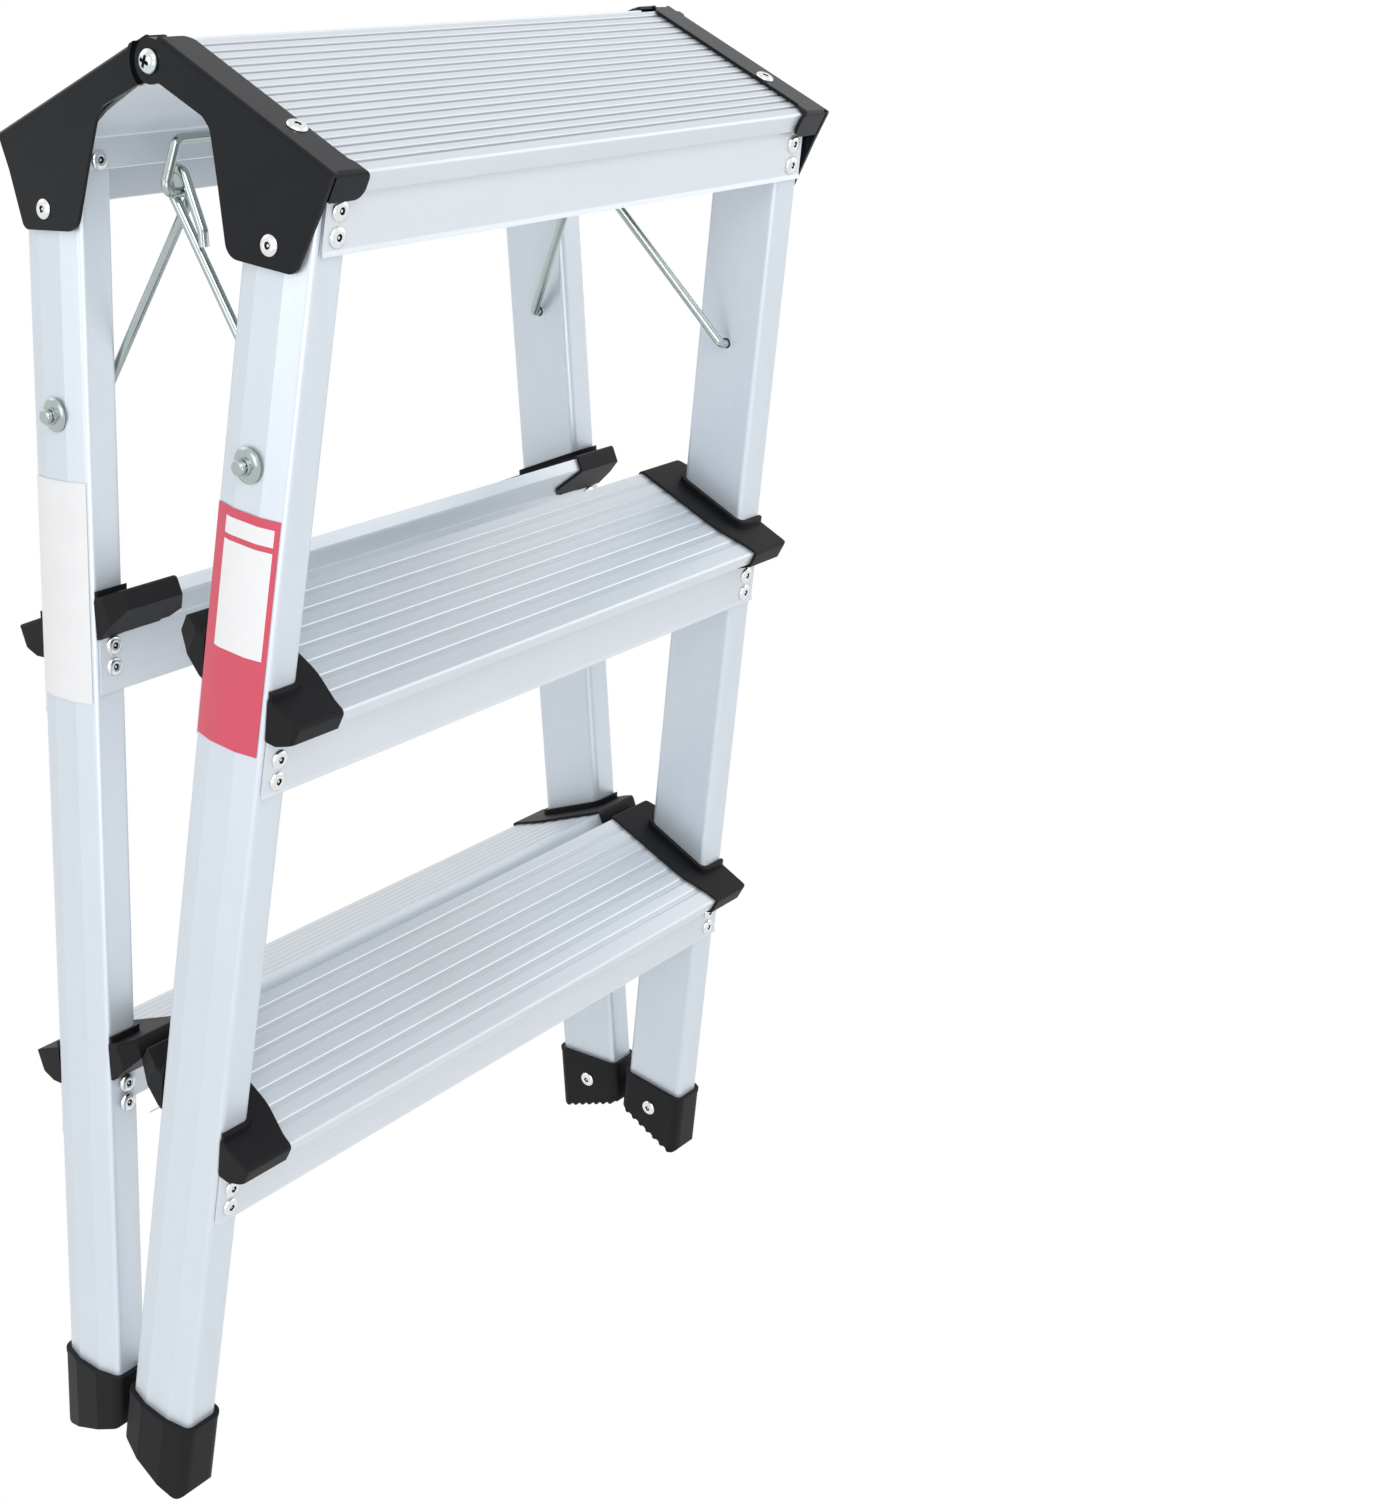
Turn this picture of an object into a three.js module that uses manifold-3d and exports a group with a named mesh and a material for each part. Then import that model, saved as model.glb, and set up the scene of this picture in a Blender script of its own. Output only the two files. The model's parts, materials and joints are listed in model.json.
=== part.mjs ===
// A double-sided folding step ladder with three treads a side, drawn folded.
//
// Each of the two frames is drawn in its own open position: the hinge axis is the X axis, +Y points
// away from the hinge on that frame's side and +Z points up. The rear frame stands on the +Y side. The
// front frame is the same frame turned half a turn about Z. Lengths are millimetres, angles degrees.

import * as THREE from 'three';
import { mergeVertices } from 'three/addons/utils/BufferGeometryUtils.js';
import Module from 'manifold-3d';

const wasm = await Module();
wasm.setup();

// ---------------------------------------------------------------- driving sizes

const CLEAR = 0.3; // gap between pieces that touch
const FOLD = 25; // how far each frame turns from folded to open
const LEAN = 20.45; // each rail's lean when the ladder stands open
const FLARE = 0.074; // half-width gained per millimetre down

// Rails: box tubes with a crowned outer face, their section taken level with the hinge.
const RAIL_BACK = 59.6; // back face, from the hinge axis
const RAIL_DEPTH = 39.5; // square to the rail
const RAIL_CORNER_X = 173.2; // outer corners, from the middle of the ladder
const RAIL_WIDTH = 18.5;
const RAIL_CROWN = 3;
const RAIL_SIDE_FACET = 13;
const RAIL_CORNER_RADIUS = 3.6;
const RAIL_WALL = 1.2;

// Top treads
const TOP_RIB_Z = 9.3; // rib tops above the hinge axis
const TOP_BACK = 1.5;
const TOP_NOSE_OVERHANG = 3.3; // nose ahead of the outer apron
const TOP_NOSE_HEIGHT = 9.9;
const TOP_BACK_HEIGHT = 11.3;
const TOP_WEB_DROP = 19.5; // rib tops down to the web's lower end
const TOP_OUTER_APRON = 33.9; // rib tops down to the apron's edge
const TOP_INNER_APRON = 32.2;
const TOP_RIBS = 18;
const TOP_SHEET = 1.2;
const TOP_RIB_HEIGHT = 0.8;
const HINGE_NOTCH_RADIUS = 16;
const HINGE_NOTCH_LENGTH = 10;

// Middle and bottom treads
const TREAD_DROPS = { mid: 210.9, bottom: 415.1 }; // rib tops below the top tread's rib tops
const TREAD_DEPTH = 76.5;
const TREAD_OFFSET = 1.1; // tread centre ahead of the rail's centre
const TREAD_NOSE_HEIGHT = 7.5;
const TREAD_NECK_DROP = 13.5; // knee of the slope under the nose, below the rib tops
const TREAD_NECK_BACK = 6.6; // and behind the nose
const TREAD_LIP_HEIGHT = 7;
const TREAD_SLOPE_DROP = 15; // rib tops down to where both slopes meet the aprons
const TREAD_APRON = 41.5;
const TREAD_RIBS = 8;
const TREAD_SHEET = 1.3;
const TREAD_RIB_HEIGHT = 0.7;
const TREAD_END_GAP = 2.8; // tread plate to the rail's inner face
const APRON_SKIN = 1.5;
const APRON_BEAD = 0.7;
const APRON_BEAD_HEIGHT = 2.6;
const APRON_END = 2; // apron ends inside the rail's outer corners
const APRON_TOP_GAP = 2; // slopes down to the apron ends' upper edge

// Tread end caps
const CAP_SKIN = 1.6; // cap's outside past the tread's
const CAP_END_WALL = 2;
const CAP_REACH_FRONT = 28.6; // inner edge, in from the rail's outer corners
const CAP_REACH_MIDDLE = 35.1;
const CAP_REACH_BACK = 37.1;
const CAP_WING_REACH = 8.7; // wing under the back slope, in from the inner edge
const CAP_WING_START = 12.7; // its tip, ahead of the tread's back edge
const CAP_WING_END = 18;
const CAP_CORNER_RUN = 11; // cut across the outer back corner
const CAP_CORNER_WIDTH = 4;
const CAP_COLLAR = 2.5;
const CAP_COLLAR_HEIGHT = 3;
const CAP_EDGE_RADIUS = 2.4;

// Hinge plates
const PLATE_SHEET = 1.8;
const PLATE_BEND_Z = -6.4; // below this the plate follows the rail
const PLATE_LOBE = 9.3;
const PLATE_DISH_RADIUS = 14.3;
const PLATE_DISH_WALL = 1.7;
const PLATE_CORNER_U = 74.1; // lower inner corner
const PLATE_CORNER_Z = -47;
const FLANGE_SHEET = 1.5;
const FLANGE_WIDTH = 17.3;
const FLANGE_START = 0.9;
const FLANGE_CORNER_RADIUS = 5;
const TAB_SHEET = 1.8;
const TAB_WIDTH = 19.5;
const TAB_SLIT = 1.2;
const TAB_DROP = 11.5; // rib tops down to the tab's lower edge

// Hinge screws
const SCREW_HEAD = 10.6;
const SCREW_HEAD_HEIGHT = 3.2;
const SCREW_SHANK = 5;
const SCREW_HOLE = 5.6;
const NUT_ACROSS = 9.2;
const NUT_HEIGHT = 4;

// Feet
const SOLE_DROP = 608; // rib tops down to the sole
const FOOT_RIM_DROP = 574.5; // rib tops down to the rim, on the rail's centre
const FOOT_WALL = 2.2;
const FOOT_SOLE = 6.8;
const FOOT_CORNER_RADIUS = 5;
const FOOT_SCALLOPS = 8;
const FOOT_SCALLOP_RADIUS = 2.2;
const FOOT_SCALLOP_DEPTH = 1.6;

// Rivets
const RIVET_HEAD = 9.2;
const RIVET_DOME = 1.6;
const RIVET_SHANK = 4.8;
const RIVET_HOLE = 5.6;
const RIVET_TAIL = 0.8; // shank past the last sheet
const RIVET_SINK = 0.2; // apron rivets into the aprons
const RIVET_INSET = 10; // from the rail's outer corners
const TOP_RIVETS = { outer: [17.3, 27.1], inner: [28.6] }; // below the rib tops
const TREAD_RIVETS = { outer: [26, 35.6], inner: [20.9, 30.4] };
const PLATE_RIVET_DROP = 39.8;
const FLANGE_RIVET_U = 74.4;
const FLANGE_RIVET_INSET = 12.3; // from the plate's outer face
const FOOT_RIVET_DROP = 590.3;

// Spreader rods
const ROD = 4.6;
const ROD_HOLE = 5.6;
const ROD_SIDES = 8;
const ROD_BEND = 4;
const ROD_BEND_STEPS = 3;
const ROD_END = 7.5; // rod past the rail's outer face
const ROD_PIVOT_DROP = 125.1; // rib tops down to the pivot, on the rail's centre
const ROD_PIVOT_AHEAD = -1; // from the rail's centre
const ROD_HEAD = 7;
const ROD_HEAD_LENGTH = 3;
const ROD_CAP = 15.8;
const ROD_CAP_DOME = 1.6;
const ROD_CAP_COLLAR = 8.4;
const ROD_CAP_HEIGHT = 3.6;
const ROD_TURN_IN = 4.5; // first bend, in from the rail's inner face
const BAIL_ARM = 120.3; // pivot to the link's eye
const BAIL_RISE = 22; // eye up to the crossbar
const BAIL_NEAR = { arm: 156, loop: 173, bar: 165 }; // from the middle of the ladder
const BAIL_FAR = { arm: 118.5, loop: 103, bar: 107 };
const EYE_GAP = 0.9; // eye to the bail on each side
const EYE_SLACK = 0.4; // eye to the bail with the ladder open

// Labels
const LABEL_SHEET = 0.3;
const LABEL_MARGIN = 2; // label's edges inside the rail's corners
const FRONT_LABEL = { top: 143.6, bottom: 242.1 }; // below the rib tops, on the rail's centre
const REAR_LABEL = { top: 152.7, bottom: 248.8 };

// ---------------------------------------------------------------- derived sizes

const LEAN_SLOPE = Math.tan(THREE.MathUtils.degToRad(LEAN));
const RAIL_FRONT = RAIL_BACK + RAIL_DEPTH / Math.cos(THREE.MathUtils.degToRad(LEAN));
const RAIL_CENTRE = (RAIL_BACK + RAIL_FRONT) / 2;
const RAIL_INNER_X = RAIL_CORNER_X - RAIL_WIDTH;
const RAIL_OUTER_X = RAIL_CORNER_X + RAIL_CROWN;
const SOLE_Z = TOP_RIB_Z - SOLE_DROP;
const TOP_UNDERSIDE = TOP_RIB_Z - TOP_RIB_HEIGHT - TOP_SHEET;
const RAIL_TOP = TOP_UNDERSIDE - CLEAR;
const RAIL_BOTTOM = SOLE_Z + FOOT_SOLE + CLEAR;
const PLATE_INNER_X = RAIL_OUTER_X + CLEAR - FLARE * PLATE_BEND_Z;
const PLATE_OUTER_X = PLATE_INNER_X + PLATE_SHEET;
const TOP_END_X = PLATE_INNER_X - 2 * CLEAR;
const FLANGE_BOTTOM = TOP_RIB_Z + CLEAR;
const PLATE_TOP = FLANGE_BOTTOM + FLANGE_SHEET;
const DISH_OUTER_X = PLATE_INNER_X - CLEAR;
const DISH_INNER_X = DISH_OUTER_X - PLATE_SHEET;
const PIVOT_Z = TOP_RIB_Z - ROD_PIVOT_DROP;
const PIVOT_U = RAIL_CENTRE + ROD_PIVOT_AHEAD - LEAN_SLOPE * PIVOT_Z;

const railBack = (z) => RAIL_BACK - LEAN_SLOPE * z;
const railFront = (z) => RAIL_FRONT - LEAN_SLOPE * z;
const railCentre = (z) => RAIL_CENTRE - LEAN_SLOPE * z;
const flared = (x, z) => x - FLARE * z;

const TOP_NOSE = railFront(TOP_RIB_Z - TOP_NOSE_HEIGHT) + CLEAR + APRON_SKIN + TOP_NOSE_OVERHANG;
const PLATE_EDGE = TOP_NOSE + CLEAR + TAB_SHEET;

// ---------------------------------------------------------------- colours

const colour = (hex, roughness, metalness) =>
  new THREE.MeshStandardMaterial({ color: hex, roughness, metalness });
const ALUMINIUM = colour(0xd2d6da, 0.38, 0.9);
const TREAD_ALUMINIUM = colour(0xdadde0, 0.34, 0.9);
const BLACK_PLATE = colour(0x2f3236, 0.5, 0.2);
const BLACK_PLASTIC = colour(0x26282b, 0.7, 0);
const RIVET_METAL = colour(0xe0e2e4, 0.3, 0.95);
const ZINC = colour(0xc6ccc8, 0.3, 0.95);
const WHITE_LABEL = colour(0xf2f2f0, 0.5, 0);
const RED_LABEL = colour(0xc02a44, 0.5, 0);

// ---------------------------------------------------------------- solids

// Turns a closed geometry into a solid that can be joined and cut.
function solid(geometry) {
  const bare = geometry.clone();
  bare.deleteAttribute('normal');
  bare.deleteAttribute('uv');
  const welded = mergeVertices(bare, 1e-4);
  const corners = Array.from(welded.index.array);
  const kept = [];
  for (let i = 0; i < corners.length; i += 3) {
    const [a, b, c] = corners.slice(i, i + 3);
    if (a !== b && b !== c && c !== a) kept.push(a, b, c);
  }
  return new wasm.Manifold(new wasm.Mesh({
    numProp: 3,
    vertProperties: Float32Array.from(welded.attributes.position.array),
    triVerts: Uint32Array.from(kept),
  }));
}

function geometryOf(body) {
  const mesh = body.getMesh();
  const geometry = new THREE.BufferGeometry();
  geometry.setAttribute('position', new THREE.BufferAttribute(mesh.vertProperties, 3));
  geometry.setIndex(new THREE.BufferAttribute(mesh.triVerts, 1));
  return geometry;
}

const join = (bodies) => bodies.reduce((whole, body) => whole.add(body));
const cut = (body, tools) => tools.reduce((rest, tool) => rest.subtract(tool), body);

// Rounds the corners of an outline. A corner is [a, b] or [a, b, radius].
function rounded(corners, radius = 0, steps = 3) {
  const outline = [];
  corners.forEach((corner, i) => {
    const here = new THREE.Vector2(corner[0], corner[1]);
    const before = corners[(i + corners.length - 1) % corners.length];
    const after = corners[(i + 1) % corners.length];
    const back = new THREE.Vector2(before[0], before[1]).sub(here);
    const ahead = new THREE.Vector2(after[0], after[1]).sub(here);
    const room = Math.min(back.length(), ahead.length()) / 2;
    back.normalize();
    ahead.normalize();
    const half = Math.acos(THREE.MathUtils.clamp(back.dot(ahead), -1, 1)) / 2;
    const wanted = corner[2] ?? radius;
    const reach = Math.min(wanted / Math.tan(half), room);
    if (reach < 0.05) {
      outline.push([here.x, here.y]);
      return;
    }
    const arcRadius = reach * Math.tan(half);
    const middle = back.clone().add(ahead).normalize().multiplyScalar(arcRadius / Math.sin(half));
    const centre = here.clone().add(middle);
    const first = here.clone().addScaledVector(back, reach).sub(centre);
    const last = here.clone().addScaledVector(ahead, reach).sub(centre);
    let sweep = last.angle() - first.angle();
    if (sweep > Math.PI) sweep -= 2 * Math.PI;
    if (sweep < -Math.PI) sweep += 2 * Math.PI;
    for (let step = 0; step <= steps; step += 1) {
      const spoke = first.clone().rotateAround(new THREE.Vector2(), (sweep * step) / steps);
      outline.push([centre.x + spoke.x, centre.y + spoke.y]);
    }
  });
  return outline;
}

// Moves each side of an anticlockwise outline inwards; a negative distance moves it outwards.
function inset(corners, distance) {
  return corners.map((corner, i) => {
    const before = corners[(i + corners.length - 1) % corners.length];
    const after = corners[(i + 1) % corners.length];
    const into = new THREE.Vector2(corner[0] - before[0], corner[1] - before[1]).normalize();
    const out = new THREE.Vector2(after[0] - corner[0], after[1] - corner[1]).normalize();
    const normal = new THREE.Vector2(-into.y - out.y, into.x + out.x).normalize();
    const scale = distance / (normal.x * -into.y + normal.y * into.x);
    return [corner[0] + normal.x * scale, corner[1] + normal.y * scale];
  });
}

function extruded(outline, length) {
  const shape = new THREE.Shape(outline.map(([a, b]) => new THREE.Vector2(a, b)));
  return new THREE.ExtrudeGeometry(shape, { depth: length, bevelEnabled: false, steps: 1 });
}

// An (x, y) outline standing from one height to another.
function upright(outline, bottom, top) {
  return extruded(outline, top - bottom).translate(0, 0, bottom);
}

// A (y, z) outline running along X.
function alongX(outline, from, to) {
  const turn = new THREE.Matrix4().makeBasis(
    new THREE.Vector3(0, 1, 0),
    new THREE.Vector3(0, 0, 1),
    new THREE.Vector3(1, 0, 0),
  );
  return extruded(outline, to - from).applyMatrix4(turn).translate(from, 0, 0);
}

// An (x, z) outline running along Y.
function alongY(outline, from, to) {
  const turn = new THREE.Matrix4().makeBasis(
    new THREE.Vector3(1, 0, 0),
    new THREE.Vector3(0, 0, 1),
    new THREE.Vector3(0, -1, 0),
  );
  return extruded(outline, to - from).applyMatrix4(turn).translate(0, to, 0);
}

const rectangle = (a0, b0, a1, b1) => [[a0, b0], [a1, b0], [a1, b1], [a0, b1]];

// Slants an upright shape along a rail that leans out in +Y and flares out in +X.
function alongRail(geometry) {
  const shear = new THREE.Matrix4().set(
    1, 0, -FLARE, 0,
    0, 1, -LEAN_SLOPE, 0,
    0, 0, 1, 0,
    0, 0, 0, 1,
  );
  return geometry.applyMatrix4(shear);
}

// A round bar between two points.
function bar(from, to, diameter, sides = 8) {
  const axis = to.clone().sub(from);
  const geometry = new THREE.CylinderGeometry(diameter / 2, diameter / 2, axis.length(), sides);
  geometry.applyQuaternion(
    new THREE.Quaternion().setFromUnitVectors(new THREE.Vector3(0, 1, 0), axis.clone().normalize()),
  );
  const middle = from.clone().add(to).multiplyScalar(0.5);
  return geometry.translate(middle.x, middle.y, middle.z);
}

const barX = (x0, x1, y, z, diameter, sides) =>
  bar(new THREE.Vector3(x0, y, z), new THREE.Vector3(x1, y, z), diameter, sides);

// A turned piece. Its profile is [radius, height] pairs from the base up, along the given direction.
function turned(profile, sides, point, direction) {
  const geometry = new THREE.LatheGeometry(profile.map(([r, h]) => new THREE.Vector2(r, h)), sides);
  geometry.applyQuaternion(
    new THREE.Quaternion().setFromUnitVectors(new THREE.Vector3(0, 1, 0), direction),
  );
  return geometry.translate(point.x, point.y, point.z);
}

function mirrored(body) {
  return body.mirror([1, 0, 0]);
}

// ---------------------------------------------------------------- rails and feet

const RAIL_SECTION = [
  [RAIL_INNER_X, RAIL_BACK],
  [RAIL_CORNER_X, RAIL_BACK],
  [RAIL_OUTER_X, RAIL_BACK + RAIL_SIDE_FACET],
  [RAIL_OUTER_X, RAIL_FRONT - RAIL_SIDE_FACET],
  [RAIL_CORNER_X, RAIL_FRONT],
  [RAIL_INNER_X, RAIL_FRONT],
];

// The rail's outline grown by a distance, its four true corners rounded.
function railOutline(growth, steps = 2) {
  const radius = Math.max(RAIL_CORNER_RADIUS + growth, 0.8);
  const corners = inset(RAIL_SECTION, -growth);
  return rounded(corners.map(([x, u], i) => [x, u, i === 2 || i === 3 ? 0 : radius]), 0, steps);
}

function railBlock(growth, bottom, top) {
  return solid(alongRail(upright(railOutline(growth), bottom, top)));
}

// All that lies above or below a cut square to the rail, made at a height on the rail's centre.
function pastSquareCut(z, side) {
  const size = 4 * RAIL_DEPTH;
  const block = new THREE.BoxGeometry(size, size, size);
  block.translate(0, 0, side * size / 2);
  block.rotateX(THREE.MathUtils.degToRad(LEAN));
  return solid(block.translate(flared(RAIL_INNER_X, z), railCentre(z), z));
}

function makeRail(holes) {
  const bore = railBlock(-RAIL_WALL, RAIL_BOTTOM - 1, RAIL_TOP + 1);
  const rodHole = barX(RAIL_INNER_X - 10, flared(RAIL_OUTER_X, PIVOT_Z) + 10, PIVOT_U, PIVOT_Z, ROD_HOLE, 8);
  return cut(railBlock(0, RAIL_BOTTOM, RAIL_TOP), [bore, solid(rodHole), ...holes]);
}

function makeFoot(holes) {
  const rimZ = TOP_RIB_Z - FOOT_RIM_DROP;
  const growth = CLEAR + FOOT_WALL;
  const tall = rimZ + RAIL_DEPTH;
  const lift = SOLE_Z - CLEAR;
  const side = rounded([
    [railBack(lift) - growth - CLEAR, lift, FOOT_CORNER_RADIUS],
    [railFront(lift) + growth + CLEAR, lift, FOOT_CORNER_RADIUS],
    [railFront(tall) + growth + CLEAR, tall + 1],
    [railBack(tall) - growth - CLEAR, tall + 1],
  ]);
  const reach = 2 * RAIL_CORNER_X;
  const boot = railBlock(growth, SOLE_Z, tall).intersect(solid(alongX(side, 0, reach)));
  const pocket = railBlock(CLEAR, RAIL_BOTTOM - CLEAR, tall + 1);
  const grooveFrom = flared(RAIL_INNER_X, SOLE_Z) - growth - 1;
  const grooveTo = flared(RAIL_INNER_X, SOLE_Z) + RAIL_WIDTH / 2;
  const pitch = (RAIL_FRONT - RAIL_BACK + 2 * growth) / FOOT_SCALLOPS;
  const grooves = [];
  for (let i = 0; i < FOOT_SCALLOPS; i += 1) {
    const u = railBack(SOLE_Z) - growth + (i + 0.5) * pitch;
    const z = SOLE_Z + FOOT_SCALLOP_DEPTH - FOOT_SCALLOP_RADIUS;
    grooves.push(solid(barX(grooveFrom, grooveTo, u, z, 2 * FOOT_SCALLOP_RADIUS, 10)));
  }
  return cut(boot, [pocket, pastSquareCut(rimZ, 1), ...grooves, ...holes]);
}

// ---------------------------------------------------------------- treads

// The tread's ribbed top, from the back edge to the front edge.
function ribs(back, front, top, height, count) {
  const pitch = (front - back) / count;
  const points = [];
  for (let i = 0; i < count; i += 1) {
    const start = back + i * pitch;
    points.push([start, top]);
    if (i < count - 1) {
      points.push([start + pitch * 0.62, top]);
      points.push([start + pitch * 0.68, top - height]);
      points.push([start + pitch * 0.94, top - height]);
    }
  }
  points.push([front, top]);
  return points;
}

// The outer apron's outside line, with the bead along its lower edge.
function beadedEdge(bottom) {
  const face = CLEAR + APRON_SKIN;
  const beadTop = bottom + APRON_BEAD_HEIGHT;
  return [
    [railFront(beadTop) + face, beadTop],
    [railFront(beadTop) + face + APRON_BEAD, beadTop - APRON_BEAD],
    [railFront(bottom) + face + APRON_BEAD, bottom],
    [railFront(bottom) + CLEAR, bottom],
  ];
}

// What lies beyond both slanting apron ends, from one height to another.
function beyondAprons(top, bottom) {
  const far = 2 * RAIL_CORNER_X;
  const endTop = flared(RAIL_CORNER_X, top) - APRON_END;
  const endBottom = flared(RAIL_CORNER_X, bottom) - APRON_END;
  const outline = [[endTop, top], [far, top], [far, bottom], [endBottom, bottom]];
  const side = solid(alongY(outline, -far, 2 * far));
  return side.add(mirrored(side));
}

function makeTopTread(flangeHoles) {
  const outerBottom = TOP_RIB_Z - TOP_OUTER_APRON;
  const innerBottom = TOP_RIB_Z - TOP_INNER_APRON;
  const noseBottom = TOP_RIB_Z - TOP_NOSE_HEIGHT;
  const backBottom = TOP_RIB_Z - TOP_BACK_HEIGHT;
  const webBottom = TOP_RIB_Z - TOP_WEB_DROP;
  const outline = [
    ...ribs(TOP_BACK, TOP_NOSE, TOP_RIB_Z, TOP_RIB_HEIGHT, TOP_RIBS),
    [TOP_NOSE, noseBottom],
    outerFace(noseBottom),
    ...beadedEdge(outerBottom),
    outerSeat(TOP_UNDERSIDE),
    innerSeat(TOP_UNDERSIDE),
    innerSeat(innerBottom),
    innerFace(innerBottom),
    innerFace(webBottom),
    [TOP_BACK, backBottom],
  ];
  const cell = [
    [TOP_BACK + APRON_SKIN, TOP_UNDERSIDE],
    innerFace(TOP_UNDERSIDE),
    innerFace(webBottom + APRON_SKIN),
    [TOP_BACK + APRON_SKIN, backBottom + APRON_SKIN],
  ];
  const body = solid(alongX(outline, -TOP_END_X, TOP_END_X));
  const hollow = solid(alongX(cell, -TOP_END_X - 1, TOP_END_X + 1));
  const notch = solid(
    barX(TOP_END_X - HINGE_NOTCH_LENGTH, TOP_END_X + 10, 0, 0, 2 * HINGE_NOTCH_RADIUS, 12),
  );
  const ends = beyondAprons(noseBottom, outerBottom - 1);
  const cutBody = cut(body, [hollow, notch, mirrored(notch), ends, ...flangeHoles]);
  return join([cutBody, ...treadRivets(TOP_RIB_Z, TOP_RIVETS)]);
}

// The heights and edges of a middle or bottom tread.
function treadPlace(drop) {
  const top = TOP_RIB_Z - drop;
  const centre = railCentre(top) + TREAD_OFFSET;
  return {
    top,
    back: centre - TREAD_DEPTH / 2,
    front: centre + TREAD_DEPTH / 2,
    slopeEnd: top - TREAD_SLOPE_DROP,
    bottom: top - TREAD_APRON,
    plateEnd: flared(RAIL_INNER_X, top) - TREAD_END_GAP,
    cornerX: flared(RAIL_CORNER_X, top),
  };
}

// Points on an apron's outside face, and on its side against the rail.
const outerFace = (z) => [railFront(z) + CLEAR + APRON_SKIN, z];
const outerSeat = (z) => [railFront(z) + CLEAR, z];
const innerFace = (z) => [railBack(z) - CLEAR - APRON_SKIN, z];
const innerSeat = (z) => [railBack(z) - CLEAR, z];

// The knee and the lower edge of a tread's nose.
const noseUnderside = ({ top, front }) => [
  [front - TREAD_NECK_BACK, top - TREAD_NECK_DROP],
  [front, top - TREAD_NOSE_HEIGHT],
];

function makeTread(place) {
  const { top, back, front, slopeEnd, bottom, plateEnd } = place;
  const underside = top - TREAD_RIB_HEIGHT - TREAD_SHEET;
  const lipBottom = top - TREAD_LIP_HEIGHT;
  const outline = [
    ...ribs(back, front, top, TREAD_RIB_HEIGHT, TREAD_RIBS),
    ...noseUnderside(place).reverse(),
    outerFace(slopeEnd),
    ...beadedEdge(bottom),
    outerSeat(underside),
    [back + APRON_SKIN, underside],
    [back + APRON_SKIN, lipBottom + APRON_SKIN / 2],
    innerSeat(slopeEnd + APRON_SKIN),
    innerSeat(bottom),
    innerFace(bottom),
    innerFace(slopeEnd),
    [back, lipBottom],
  ];
  const noseCell = inset([
    outerSeat(slopeEnd),
    ...noseUnderside(place),
    [front, underside + APRON_SKIN],
    outerSeat(underside + APRON_SKIN),
  ], APRON_SKIN);
  const middle = solid(alongX(outline, -plateEnd, plateEnd));
  const hollow = solid(alongX(noseCell, -plateEnd - 1, plateEnd + 1));
  const reach = flared(RAIL_CORNER_X, bottom);
  const endTop = slopeEnd - APRON_TOP_GAP;
  const outerApron = [outerSeat(endTop), outerFace(endTop), ...beadedEdge(bottom)];
  const innerApron = [innerSeat(endTop), innerSeat(bottom), innerFace(bottom), innerFace(endTop)];
  const aprons = [outerApron, innerApron].map((apron) => solid(alongX(apron, -reach, reach)));
  const ends = beyondAprons(top + 1, bottom - 1);
  const cutBody = join([middle.subtract(hollow), ...aprons]).subtract(ends);
  return join([cutBody, ...treadRivets(top, TREAD_RIVETS)]);
}

// ---------------------------------------------------------------- tread end caps

// A tread's section grown by a distance, open downwards between the given points.
function aroundTread(place, growth, below) {
  const { top, back, front, slopeEnd } = place;
  return inset([
    [back, top - TREAD_LIP_HEIGHT],
    innerFace(slopeEnd),
    ...below,
    outerFace(slopeEnd),
    ...noseUnderside(place),
    [front, top],
    [back, top],
  ], -growth);
}

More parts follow.
